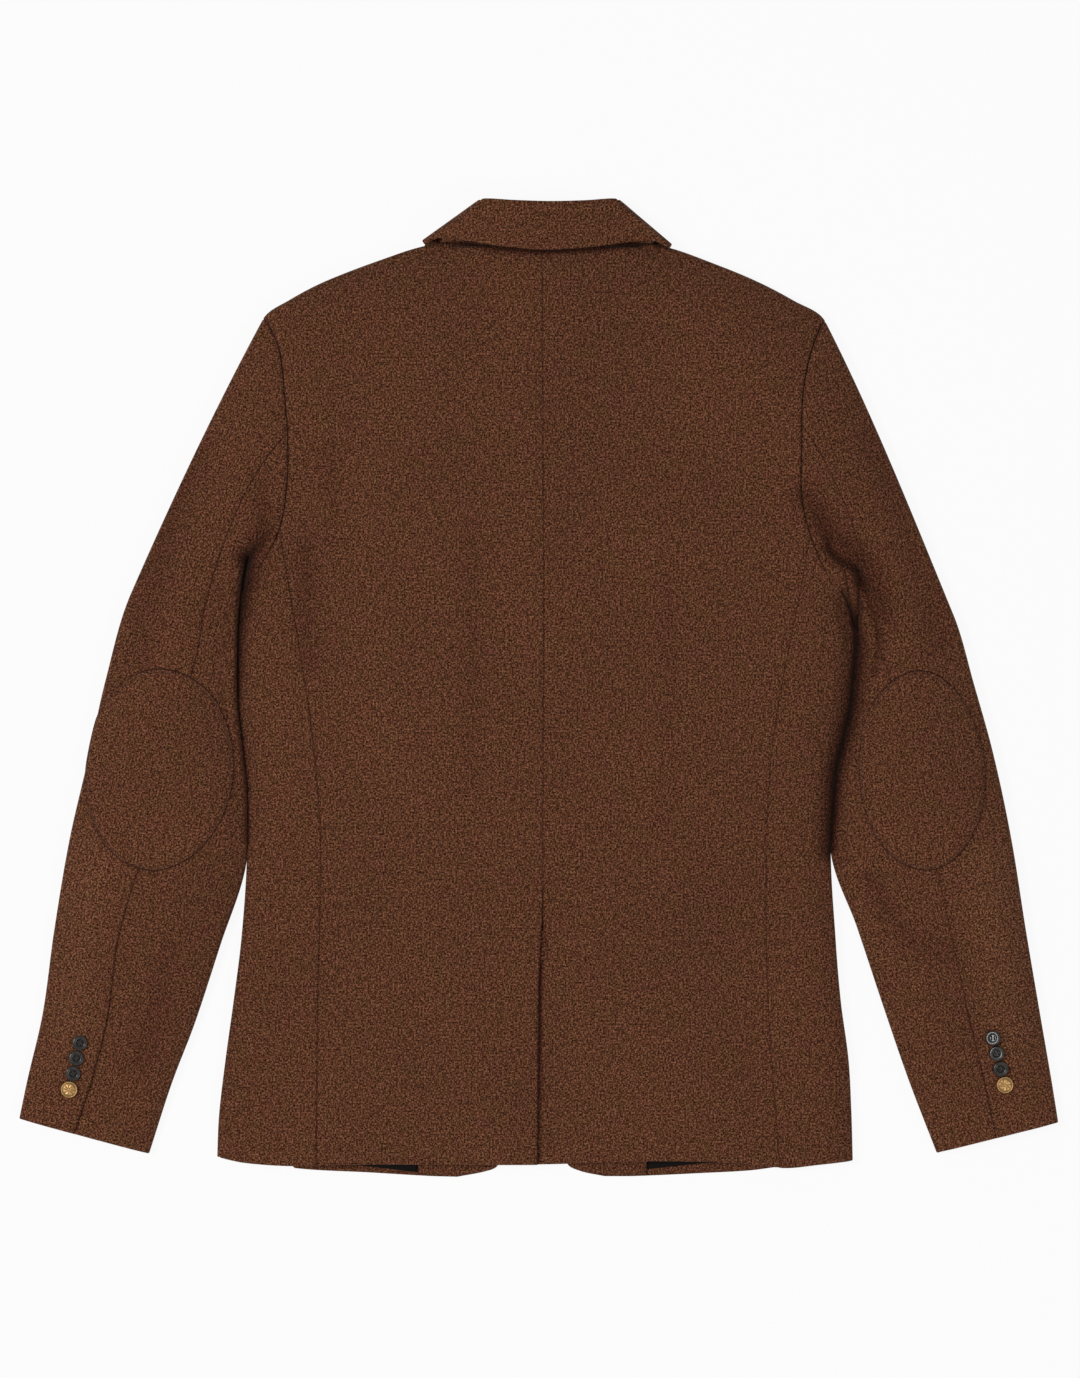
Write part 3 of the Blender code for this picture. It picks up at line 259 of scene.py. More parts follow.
# Creases of the upper layer: where, half width, depth and painted shade at the start and the end, line.
# The painted shade stands for the shadow in a crease or hollow. A ridge has a depth and a shade below
# nought, and there the shade is painted light.
CREASES = (
    ("left armpit trough", (2.6, 7.0), (2.5, 10.5), (0.2, 0.95),
     ((-205, 131), (-213.4, 119.2), (-221, 110.5), (-228.5, 102.5))),
    ("left armpit notch", (4.4, 2.4), (9.0, 6.0), (0.85, 0.5),
     ((-228, 103), (-230.6, 91), (-233, 79), (-235, 68))),
    ("left underarm", (1.6, 2.4), (0.8, 2.0), (0.1, 0.5),
     ((-208, 114), (-212.3, 107), (-218.8, 93.5), (-225, 83), (-233.5, 73))),
    ("left armhole hollow", (8.0, 6.0), (1.6, 3.8), (0.1, 0.3),
     ((-219, 170), (-214, 142), (-211, 122))),
    ("right armhole hollow", (9.0, 6.5), (2.4, 5.5), (0.34, 0.45),
     ((208, 152), (214.7, 143.3), (226, 127), (228, 110.3))),
    ("right armpit trough", (4.0, 6.0), (6.0, 8.5), (0.75, 0.85),
     ((227.6, 116), (229, 108), (236.7, 100.9), (249.2, 94.6), (255, 82))),
    ("right armpit tail", (5.5, 4.5), (8.0, 1.6), (0.78, 0.14),
     ((250, 94), (255.5, 80.5), (265, 66.3), (279.5, 48))),
    ("right underarm", (1.6, 2.2), (3.5, 6.0), (0.8, 0.7),
     ((238, 76), (241.4, 71), (243.7, 63.2), (247, 48))),
    ("right small fold", (1.8, 1.8), (2.4, 3.4), (0.3, 0.5),
     ((240, 91), (241.4, 86.7), (244.5, 70.3))),
    ("right second fold", (2.8, 2.8), (7.0, 4.5), (0.75, 0.6),
     ((250, 96), (251.6, 75.8), (252.4, 63.2), (250.8, 49.8), (249.2, 34))),
    ("right third fold", (2.8, 3.0), (4.5, 2.8), (0.6, 0.35),
     ((256, 78), (263.4, 56.9), (266.5, 44.4), (266.5, 28.7), (262, 12))),
    ("left upper hollow", (9.0, 9.0), (1.2, 0.8), (0.13, 0.09),
     ((-163, 185), (-160, 150), (-158, 118))),
    ("left side hollow", (7.0, 7.5), (1.5, 0.9), (0.24, 0.16),
     ((-181, 111), (-181, 60), (-179, 17))),
    ("middle left hollow", (8.0, 7.0), (1.0, 0.6), (0.12, 0.09),
     ((-51, 128), (-50, 30), (-52, -76))),
    ("middle right hollow", (6.0, 7.0), (0.8, 0.5), (0.1, 0.07),
     ((103, 94), (104, 0), (100, -110))),
    ("left sleeve hollow", (12.0, 12.0), (1.8, 1.4), (0.2, 0.15),
     ((-266, 190), (-290, 130), (-307, 60), (-316, 10))),
    ("right sleeve hollow", (9.0, 11.0), (1.2, 1.6), (0.1, 0.14),
     ((262, 195), (288, 130), (303, 85), (316, 35))),
    ("left cuff hollow", (9.0, 12.0), (1.2, 2.2), (0.12, 0.22),
     ((-286, -200), (-297, -245), (-312, -292))),
    ("right forearm hollow", (7.0, 9.0), (2.4, 1.2), (0.26, 0.14),
     ((262, -150), (278, -180), (300, -200), (322, -205))),
    ("left forearm ridge", (17.0, 15.0), (-1.4, -0.8), (-0.14, -0.12),
     ((-350, -140), (-356, -200), (-364, -280))),
    ("right forearm ridge", (17.0, 15.0), (-1.4, -0.8), (-0.2, -0.18),
     ((350, -140), (358, -200), (370, -280))),
    ("right armpit slope", (9.0, 8.5), (1.2, 1.2), (0.46, 0.42),
     ((219, 138), (229, 121), (244, 109), (257, 95), (266, 76), (270, 60))),
    ("left armpit slope", (6.0, 6.0), (1.0, 1.0), (0.2, 0.34),
     ((-213, 146), (-216, 130), (-224, 118))),
)
# Studio
FLOOR_HALF = 6.0             # metres, as everything on the stage
FLOOR_LEVEL = -0.0004
FLOOR_GLOW = 0.92            # how much of the floor's own white the camera sees
WORLD_LIGHT = 0.31
# Name, place, size and power in watts
LAMPS = (
    ("key", (-2.2, 0.2, 3.4), (1.1, 1.1), 67.0),
    ("fill", (1.8, -1.8, 2.8), (1.2, 1.2), 24.0),
)
FRAME_HEIGHT = 1.0817        # what the camera shows, in metres from its top to its bottom
FRAME_CENTRE = (0.0012, -0.0004)
FRAME_LEVEL = 0.012          # height above the floor at which that is measured


# ---------------------------------------------------------------- curves

def unit(vectors):
    """The same vectors with a length of 1."""
    return vectors / np.linalg.norm(vectors, axis=-1, keepdims=True)


def knots(*parts):
    """Join point tables into one array of knots."""
    return np.array([point for part in parts for point in part], float)


def running(points):
    """Length along a line of points, from 0."""
    return np.r_[0.0, np.cumsum(np.linalg.norm(np.diff(points, axis=0), axis=1))]


def along(line, at):
    """Points of the smooth curve through the knots, at fractional knot numbers."""
    line = np.asarray(line, float)
    at = np.asarray(at, float)
    run = running(line)
    slope = np.empty_like(line)
    slope[1:-1] = (line[2:] - line[:-2]) / (run[2:] - run[:-2])[:, None]
    slope[0] = (line[1] - line[0]) / (run[1] - run[0])
    slope[-1] = (line[-1] - line[-2]) / (run[-1] - run[-2])
    i = np.clip(np.floor(at).astype(int), 0, len(line) - 2)
    f = (at - i)[..., None]
    h = (run[i + 1] - run[i])[..., None]
    return ((1 + 2 * f) * (1 - f) ** 2 * line[i] + f * (1 - f) ** 2 * h * slope[i]
            + f * f * (3 - 2 * f) * line[i + 1] + f * f * (f - 1) * h * slope[i + 1])


def outward(line, at, hint):
    """Unit normals of the curve in plan, on the side of the hint direction."""
    step = 0.02
    last = len(line) - 1.0
    at = np.asarray(at)
    run = along(line, np.minimum(at + step, last)) - along(line, np.maximum(at - step, 0.0))
    normal = unit(np.stack([run[..., 1], -run[..., 0]], -1))
    return normal * np.where((normal * hint).sum(-1) < 0, -1.0, 1.0)[..., None]


def spread(line, shares, first=0.0, last=None):
    """Knot numbers of the points at given shares of the curve's length."""
    at = np.linspace(first, len(line) - 1.0 if last is None else last, 240)
    run = running(along(line, at))
    return np.interp(np.asarray(shares) * run[-1], run, at)


def pitch(length, cell, rolled="both"):
    """Shares of a length at an even pitch, with close lines beside its rolled ends.

    rolled says which ends: both, first or last."""
    close = np.array(EDGE_LINES) / length
    after = close[-1] + cell / length
    first, last = rolled in ("both", "first"), rolled in ("both", "last")
    count = max(2, round(length / cell))
    middle = np.linspace(after if first else 0, 1 - after if last else 1, count)
    return np.r_[close if first else [], middle, 1 - close[::-1] if last else []]


def straight(corners, shares):
    """Points of a line of straight stretches at shares of its length."""
    corners = np.array(corners, float)
    run = running(corners) / running(corners)[-1]
    return np.stack([np.interp(shares, run, column) for column in corners.T], -1)


def coons(bottom, top, left, right, across, upward):
    """Plan grid between four edges: bottom and top run left to right, the others upwards."""
    u, v = across[None, :, None], upward[:, None, None]
    sides = (1 - v) * bottom[None] + v * top[None] + (1 - u) * left[:, None] + u * right[:, None]
    return sides - ((1 - u) * (1 - v) * bottom[0] + u * (1 - v) * bottom[-1]
                    + (1 - u) * v * top[0] + u * v * top[-1])


def distance(points, line):
    """Distance in plan from each point to a polyline, and how far along it that is, 0 to 1."""
    flat_points = points.reshape(-1, 2)
    best = np.full(len(flat_points), np.inf)
    place = np.zeros(len(flat_points))
    run = running(line)
    for k, (a, b) in enumerate(zip(line[:-1], line[1:])):
        ab = b - a
        ap = flat_points - a
        t = np.clip(ap @ ab / max(ab @ ab, 1e-9), 0, 1)
        away = np.hypot(ap[:, 0] - t * ab[0], ap[:, 1] - t * ab[1])
        closer = away < best
        best[closer] = away[closer]
        place[closer] = (run[k] + t[closer] * (run[k + 1] - run[k])) / run[-1]
    return best.reshape(points.shape[:-1]), place.reshape(points.shape[:-1])


def inside(points, ring):
    """True where a plan point lies inside a closed ring of corners."""
    x, y = points[..., 0], points[..., 1]
    found = np.zeros(x.shape, bool)
    for (x0, y0), (x1, y1) in zip(ring, np.roll(ring, -1, axis=0)):
        reach = x0 + (y - y0) * (x1 - x0) / (y1 - y0 if y1 != y0 else 1e-9)
        found ^= ((y0 > y) != (y1 > y)) & (x < reach)
    return found


def ease(t):
    """0 below 0, 1 above 1, smooth between them."""
    t = np.clip(t, 0, 1)
    return t * t * (3 - 2 * t)


def near(points, ring, full, fade):
    """1 on a closed region and up to full mm round it, falling smoothly to 0 at fade mm."""
    ring = np.asarray(ring, float)
    away = np.where(inside(points, ring), 0.0, distance(points, np.vstack([ring, ring[:1]]))[0])
    return ease((fade - away) / (fade - full))


def ripple(points, size, seed):
    """Smooth uneven waves over the plan, about -1 to 1, with a given size in mm."""
    table = np.random.default_rng(seed).uniform(-1, 1, (64, 64))
    place = (points + 700.0) / np.asarray(size, float)
    i = np.floor(place).astype(int)
    f = place - i
    f = f * f * (3 - 2 * f)
    (x0, y0), (x1, y1) = np.moveaxis(i % 64, -1, 0), np.moveaxis((i + 1) % 64, -1, 0)
    low = table[x0, y0] * (1 - f[..., 0]) + table[x1, y0] * f[..., 0]
    high = table[x0, y1] * (1 - f[..., 0]) + table[x1, y1] * f[..., 0]
    return low * (1 - f[..., 1]) + high * f[..., 1]


def bell(away, width):
    """1 at no distance, falling away smoothly."""
    return np.exp(-(away / width) ** 2)


# ---------------------------------------------------------------- the garment's form

def outer_fold(side):
    """Shoulder and outer sleeve fold, from the neck to the cuff."""
    return knots(SHOULDER[side], [row[:2] for row in SLEEVE[side]])


def pressed(line, side, way):
    """The first knots of a fold below the underarm, moved sideways by the touch of sleeve and side."""
    line[1:5, 0] += way * SIGN[side] * np.array(TOUCH[side])
    return line


def inner_fold(side):
    """Inner sleeve fold, from the underarm point to the cuff."""
    return pressed(knots([UNDERARM[side]], [row[2:4] for row in SLEEVE[side]]), side, -1)


def side_fold(side):
    """Side fold of the torso, from the underarm point to the hem."""
    return pressed(knots([UNDERARM[side]], SIDE_FOLD[side]), side, 1)


TIP = len(SHOULDER["left"]) - 1.0
FOLD_LINES = [along(fold(side), np.linspace(0, len(fold(side)) - 1, 90))
              for side in SIGN for fold in (outer_fold, inner_fold, side_fold)]


def by_level(y, column):
    """A column of the table of heights, at the level of y."""
    table = np.array(LOFT, float)
    return np.interp(y, table[:, 0], table[:, column])


def fold_radius(points):
    """Radius of the folds, which are tight in the valleys where the sleeves lie by the sides."""
    radius = by_level(points[..., 1], 3)
    for side, (on_sleeve, on_side, share, line) in VALLEYS.items():
        away, beyond = beside_valley(points, side, line)[:2]
        width = on_side + (on_sleeve - on_side) * beyond
        radius = radius * (share + (1 - share) * ease(away / width))
    return radius


def beside_valley(points, side, line):
    """Distance from a valley's line, 1 on its sleeve and 0 on its side, and reach of its painted shade.
    """
    x, y, on_sleeve, on_side = np.array(line, float)[::-1].T
    level = points[..., 1]
    beyond = ease((points[..., 0] - np.interp(level, y, x)) * SIGN[side] / 3 + 0.5)
    shade = np.interp(level, y, on_side) * (1 - beyond) + np.interp(level, y, on_sleeve) * beyond
    return distance(points, np.stack([x, y], -1))[0], beyond, shade


def creases(points):
    """Depth of the upper layer's troughs, and their painted shade: 1 in the deepest, below 0 for painted
    light on a ridge.
    """
    depth, tuck, ridge = (np.zeros(points.shape[:-1]) for _ in range(3))
    for _, *ends, line in CREASES:
        away, place = distance(points, along(line, np.linspace(0, len(line) - 1, 4 * len(line))))
        width, deep, shade = (first + (last - first) * place for first, last in ends)
        depth += (deep * bell(away, width)) ** 3
        # Painted shade along the crease for its shadow, or painted light where the shade is below
        # nought.
        shade = shade * bell(away, 1.2 * width)
        tuck, ridge = np.maximum(tuck, shade), np.minimum(ridge, shade)
    # Painted shade along each valley, for the shadow deep in it.
    for side, row in VALLEYS.items():
        away, _, reach = beside_valley(points, side, row[-1])
        tuck = np.maximum(tuck, bell(away, reach))
    return np.cbrt(depth), tuck + ridge


def upper(points, part="torso"):
    """Height of the upper layer's mid-surface over plan points, with its creases and waves."""
    radius = fold_radius(points)
    start = radius * (1 + math.sin(FOLD_TOP))
    loft = by_level(points[..., 1], 1 if part == "torso" else 2)
    rise = np.maximum(loft - start, LEAST_RISE)
    reach = CROWN * rise * math.tan(FOLD_TOP)
    away = np.min([distance(points, line)[0] for line in FOLD_LINES], axis=0)
    past = away - CLOTH / 2 - radius * (1 - math.cos(FOLD_TOP))
    t = np.clip(past / reach, 0, 1)
    waves = sum(height * ripple(points, size, seed) for height, size, seed in WAVES)
    relief = waves * ease(past / 7) - creases(points)[0] * ease(past / 2.5)
    return CLOTH / 2 + start + rise * (1 - (1 - t) ** CROWN) + relief


def inset(edge, normal, radius, angle):
    """Move an outline in to the mid-surface of the cloth at an angle from the fold's widest line."""
    return edge - normal * (CLOTH / 2 + radius * (1 - math.cos(angle)))[..., None]


def fold_arc(edge, normal, radius, angle, base=0.0):
    """One line of a round fold, at an angle from the fold's widest line."""
    plan = inset(edge, normal, radius, angle)
    turned = radius * (1 + math.sin(angle))
    z = CLOTH / 2 + turned + base * np.maximum(0.0, 1 - turned / (2 * radius))
    return np.concatenate([plan, z[..., None]], -1)


def fold_lines(edge, normal, radius, first, last, count, base=0.0):
    """The lines of a fold between two angles, without the first."""
    return [fold_arc(edge, normal, radius, angle, base)
            for angle in np.linspace(first, last, count)[1:]]


def lifted(plan, height):
    """Plan points with a height."""
    return np.concatenate([plan, np.broadcast_to(height, plan.shape[:-1])[..., None]], -1)


def front_lift(points, side):
    """How far the lower layer is held up by the lapel, the fall, the buttons and the other front."""
    lapel_in, lapel_out = LAPEL[side]
    fall = COLLAR_PLACES[2::-1] if side == "left" else COLLAR_PLACES[-3:]
    ring = [fall[0][2:4]] + [row[4:6] for row in fall]
    ring += list(lapel_out) + list(lapel_in)[::-1]
    lift = (LAYER + 0.25) * near(points, ring, 30, 52)
    if side == "left":
        away = distance(points, np.array(FRONT_BUTTONS, float))[0]
        return np.maximum(lift, (FRONT_BUTTON_HEIGHT + 0.5) * ease((70 - away) / 36))
    return np.maximum(lift, (front_lift(points, "left") + LAP) * near(points, OVERLAP, 20, 42))


def underarm_normal(side):
    """Way out of the cloth at the underarm point."""
    return np.array([SIGN[side] * 0.25, -0.97])


def armhole_plan(side, share, layer):
    """Armhole line in plan, share 0 at the tip and 1 at the underarm."""
    line = outer_fold(side)
    tip = along(line, TIP)
    tip_n = outward(line, np.array(TIP), np.array([SIGN[side], 0.6]))
    arm = np.array(UNDERARM[side], float)
    angle = FOLD_TOP if layer == "upper" else FOLD_FOOT
    first = inset(tip, tip_n, fold_radius(tip), angle)
    last = inset(arm, underarm_normal(side), fold_radius(arm), angle)
    line = knots([first], ARMHOLE[side], [last])
    points = along(line, np.asarray(share, float) * (len(line) - 1))
    if layer == "lower":
        points = points - np.array([SIGN[side], 0]) * (SCYE_HOLLOW * np.sin(np.pi * share))[..., None]
    return points


def sleeve_edges(side, span):
    """Fold points and normals of both sleeve folds at a span number, 0 being the armhole."""
    s = SIGN[side]
    span = np.asarray(span, float)
    outer, inner = outer_fold(side), inner_fold(side)
    a, b = along(outer, TIP + span), along(inner, span)
    a_n = outward(outer, TIP + span, np.array([s, 0.3]))
    b_n = outward(inner, span, np.array([-s, -0.1]))
    blend = np.clip(span / 0.5, 0, 1)[..., None]
    return a, a_n, b, unit((1 - blend) * underarm_normal(side) + blend * b_n)


def sleeve_plan(side, span, share, layer):
    """Plan point of the sleeve at a span number and a share of the width from the outer fold."""
    angle = FOLD_TOP if layer == "upper" else FOLD_FOOT

    def ends(at):
        """Where the layer meets the outer and the inner fold."""
        a, a_n, b, b_n = sleeve_edges(side, at)
        return inset(a, a_n, fold_radius(a), angle), inset(b, b_n, fold_radius(b), angle)

    (a, b), (a1, b1) = ends(span), ends(1.0)
    w = np.clip(span, 0, 1)[..., None]
    u = np.asarray(share, float)[..., None]
    start = armhole_plan(side, share, layer)
    a0, b0 = armhole_plan(side, np.array(0.0), layer), armhole_plan(side, np.array(1.0), layer)
    head = ((1 - w) * start + w * ((1 - u) * a1 + u * b1)
            + (1 - u) * (a - (1 - w) * a0 - w * a1) + u * (b - (1 - w) * b0 - w * b1))
    return np.where(w < 1, head, (1 - u) * a + u * b)


def sleeve_seam(side, span):
    """Share of the width at which the hindarm seam lies."""
    column = [HINDARM_START[side]] + [row[4] for row in SLEEVE[side]]
    bow = HINDARM_BOW * np.sin(np.pi * np.clip(span, 0, 1))
    return along(np.stack([np.arange(len(column)), column], -1), span)[..., 1] - bow


def foot_share(side):
    """Share of the upper armhole at which the side-back seam begins."""
    return SCYE_FOOT / (len(ARMHOLE[side]) + 1.0)


def side_back_seam(side):
    """Side-back seam on the upper layer, from the armhole down."""
    top = armhole_plan(side, np.array(foot_share(side)), "upper")
    return knots([top], SIDE_BACK[side])


def side_front_seam(side):
    """Side-front seam on the lower layer, from the armhole down."""
    levels = along(side_fold(side), np.arange(1.0, len(side_fold(side))))
    line = levels - np.array([SIGN[side] * SIDE_FRONT_INSET, 0])
    line[-1, 1] -= 5.0
    return knots([armhole_plan(side, np.array(FOREARM_SEAM), "lower")], line)


def hem_between(first, last, shares):
    """Points of the back hem at shares of the way from one x to another."""
    x = first + np.asarray(shares) * (last - first)
    table = np.array(BACK_HEM, float)
    return np.stack([x, along(table, np.interp(x, table[:, 0], np.arange(len(table))))[:, 1]], -1)


def collar_edge():
    """Edge of the collar's fall on the back."""
    return np.array([row[4:6] for row in COLLAR_PLACES[2:9]], float)


def back_height(points):
    """The back sinks a little under the edge of the collar's fall."""
    return upper(points, "torso") - COLLAR_SINK * bell(distance(points, collar_edge())[0], 5)


def right_back_height(points):
    """The right half dips under the left half along the vent."""
    centre = np.interp(points[..., 1], *np.array(CENTRE_BACK[::-1], float).T[::-1])
    t = np.clip((points[..., 0] - centre - 16) / 22, 0, 1)
    v = np.clip((points[..., 1] - VENT_TOP - 6) / 40, 0, 1)
    return back_height(points) - LAP * (1 - t) * (1 - v)


def shoulder_edge(side, shares):
    """Points, normals and radius of the shoulder's fold, from the neck to the tip."""
    fold = outer_fold(side)
    at = spread(fold, shares, 0.0, TIP)
    edge = along(fold, at)
    return edge, outward(fold, at, np.array([SIGN[side] * 0.4, 1.0])), fold_radius(edge)


def refine(grid, rows, columns):
    """A smooth grid through the points of a coarse one, at fractional rows and columns."""
    fine = along(grid.reshape(len(grid), -1), rows).reshape(len(rows), grid.shape[1], 3)
    turned = np.swapaxes(fine, 0, 1).reshape(grid.shape[1], -1)
    return np.swapaxes(along(turned, columns).reshape(len(columns), len(rows), 3), 0, 1)


# ---------------------------------------------------------------- mesh builders

def ride_as(thing, node):
    """The piece rides on the garment's one body and stands for its solid, which is hidden."""
    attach(thing, "root")
    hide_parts(node)


def link(name, mesh, material):
    """Put a mesh with its material into the scene."""
    mesh.materials.append(material)
    thing = bpy.data.objects.new(name, mesh)
    bpy.context.scene.collection.objects.link(thing)
    return thing


def smooth_mesh(name, points, faces):
    """A smooth-shaded mesh from arrays of points in mm and of four-sided faces."""
    mesh = bpy.data.meshes.new(name)
    mesh.vertices.add(len(points))
    mesh.vertices.foreach_set("co", (np.asarray(points, float) * MM).ravel())
    mesh.loops.add(len(faces) * 4)
    mesh.loops.foreach_set("vertex_index", np.asarray(faces).ravel())
    mesh.polygons.add(len(faces))
    mesh.polygons.foreach_set("loop_start", np.arange(0, len(faces) * 4, 4))
    mesh.update(calc_edges=True)
    mesh.validate()
    mesh.shade_smooth()
    return mesh


def grid_faces(rows, columns, first=0, wrap=False):
    """Four-sided faces between the points of a grid, whose numbers begin at first."""
    number = first + np.arange(rows * columns).reshape(rows, columns)
    if wrap:
        number = np.concatenate([number, number[:, :1]], 1)
    corners = number[:-1, :-1], number[:-1, 1:], number[1:, 1:], number[1:, :-1]
    return np.stack(corners, -1).reshape(-1, 4)


def closed_mesh(name, points, faces):
    """A smooth-shaded closed mesh, its faces turned outwards."""
    mesh = bmesh.new()
    verts = [mesh.verts.new(p * MM) for p in points]
    for face in faces:
        mesh.faces.new([verts[k] for k in face])
    bmesh.ops.recalc_face_normals(mesh, faces=mesh.faces)
    data = bpy.data.meshes.new(name)
    mesh.to_mesh(data)
    mesh.free()
    data.shade_smooth()
    return data


def store(mesh, name, values):
    """Keep a number or a vector for each point of a mesh."""
    kind, key = ("FLOAT_VECTOR", "vector") if values.ndim > 1 else ("FLOAT", "value")
    mesh.attributes.new(name, kind, "POINT").data.foreach_set(key, values.ravel())


def normals_of(grid):
    """Unit normals of a grid."""
    normal = np.cross(np.gradient(grid, axis=0), np.gradient(grid, axis=1))
    return normal / np.maximum(np.linalg.norm(normal, axis=-1, keepdims=True), 1e-9)


def edge_lengths(grid):
    """Distance along the cloth from a grid's first row, last row, first column and last column."""
    down = np.linalg.norm(np.diff(grid, axis=0), axis=-1)
    across = np.linalg.norm(np.diff(grid, axis=1), axis=-1)
    v = np.vstack([np.zeros(grid.shape[1]), np.cumsum(down, 0)])
    u = np.hstack([np.zeros((grid.shape[0], 1)), np.cumsum(across, 1)])
    return v, v[-1:] - v, u, u[:, -1:] - u


def steep_run(grid, axis):
    """Length beyond the plan's that a grid gains where it stands up in a fold, along an axis."""
    lines = np.swapaxes(grid, 0, axis)
    step = np.diff(lines, axis=0)
    plan, rise = np.linalg.norm(step[..., :2], axis=-1), np.abs(step[..., 2])
    gained = np.where(rise > 1.6 * plan, np.hypot(plan, rise) - plan, 0)
    return np.swapaxes(np.vstack([np.zeros((1, lines.shape[1])), np.cumsum(gained, 0)]), 0, axis)


def on_upper_layer(grid):
    """0 on the lower layer, 1 on the upper one, in between round a fold."""
    foot, fade = UPPER_LAYER
    return np.clip((grid[..., 2] - foot) / fade, 0, 1)


def rolled(away, roll):
    """Share of the thickness at a distance from a round edge of a given radius."""
    return np.sqrt(1 - (1 - np.clip(away / roll, 0, 1)) ** 2)


def shell(name, grid, slot, rolls, laps, marks, wall=CLOTH, grain=0.0, dark=0.0):
    """A closed wall of cloth either side of a mid-surface.

    rolls are the radii of the rolled edges, laps how far each edge reaches into its seam and marks how
    strongly the seam shows, by a hollow and by painted shade in its groove, each for the first row, the
    last row, the first column and the last column. grain turns the yarns, and dark is painted shadow,
    such as under the collar's edge and beside the vent's lap, beside the painted shade and light of the
    creases."""
    grid = grid.copy()
    for lap, (axis, edge, inner) in zip(laps, ((0, 0, 1), (0, -1, -2), (1, 0, 1), (1, -1, -2))):
        lines = np.swapaxes(grid, 0, axis)
        step = lines[inner] - lines[edge]
        length = np.linalg.norm(step, axis=-1, keepdims=True)
        lines[edge] -= lap * step / np.maximum(length, 1e-9)
    rows, columns = grid.shape[:2]
    lengths = edge_lengths(grid)
    half = wall / 2 * np.min([np.maximum(rolled(away, roll), THINNEST)
                              for away, roll in zip(lengths, rolls)], axis=0)
    normal = normals_of(grid)
    # Each seam's mark sinks the cloth over one width and lays painted shade in the groove over the
    # other.
    sewn, painted_shade_and_light = (np.max([mark * bell(away, width) for away, mark in zip(lengths, marks)], axis=0)
                  for width in (SEAM_WIDTH, SHADE_WIDTH))
    # Painted shade and light lie on the raised cloth only: painted shade in creases and valleys, painted
    # light on ridges.
    raised = np.clip((grid[..., 2] - 1.2) / 1.5, 0, 1)
    shade = raised * creases(grid[..., :2])[1]
    # All painted shade together, from seams, the painted shadow of dark and the creases; painted light
    # of ridges makes it lighter.
    painted_shade_and_light = np.maximum(np.maximum(SEAM_SHADE * painted_shade_and_light, raised * dark), shade) + np.minimum(shade, 0)
    sink = SEAM_DIP * sewn * on_upper_layer(grid)
    grid = grid - normal * (sink * np.sign(normal[..., 2]))[..., None]
    normal *= half[..., None]
    points = np.vstack([(grid + normal).reshape(-1, 3), (grid - normal).reshape(-1, 3)])
    count = rows * columns
    number = np.arange(count).reshape(rows, columns)
    rim = np.r_[number[0], number[1:, -1], number[-1, -2::-1], number[-2:0:-1, 0]]
    far = np.roll(rim, -1)
    top = grid_faces(rows, columns)
    edge = np.stack([far, rim, rim + count, far + count], -1)
    faces = np.vstack([top, top[:, ::-1] + count, edge])
    a, b, c, d = (points[faces[:, k]] for k in range(4))
    if ((np.cross(b - a, c - a) + np.cross(c - a, d - a)) * a).sum() < 0:
        faces = faces[:, ::-1]
    mesh = smooth_mesh(name, points, faces)
    x, y, c, s = grid[..., 0], grid[..., 1], math.cos(grain), math.sin(grain)
    # The third number is the painted shade and light, which the finish reads.
    place = np.stack([x * c + y * s + steep_run(grid, 1), y * c - x * s + steep_run(grid, 0),
                      np.clip(painted_shade_and_light, -1, 1)], -1)
    store(mesh, "cut", np.vstack([place.reshape(-1, 3)] * 2))
    thing = link(name, mesh, finish(slot))
    ride_as(thing, name.removesuffix("_cloth"))
    a, b, c, d = (grid.reshape(-1, 3)[top[:, k]] for k in range(4))
    area = 0.5 * np.linalg.norm(np.cross(c - a, d - b), axis=-1).sum() * MM * MM
    width, length = lengths[2].max() * MM, lengths[0].max() * MM
    min(float(area), width * length)


# ---------------------------------------------------------------- cloth pieces

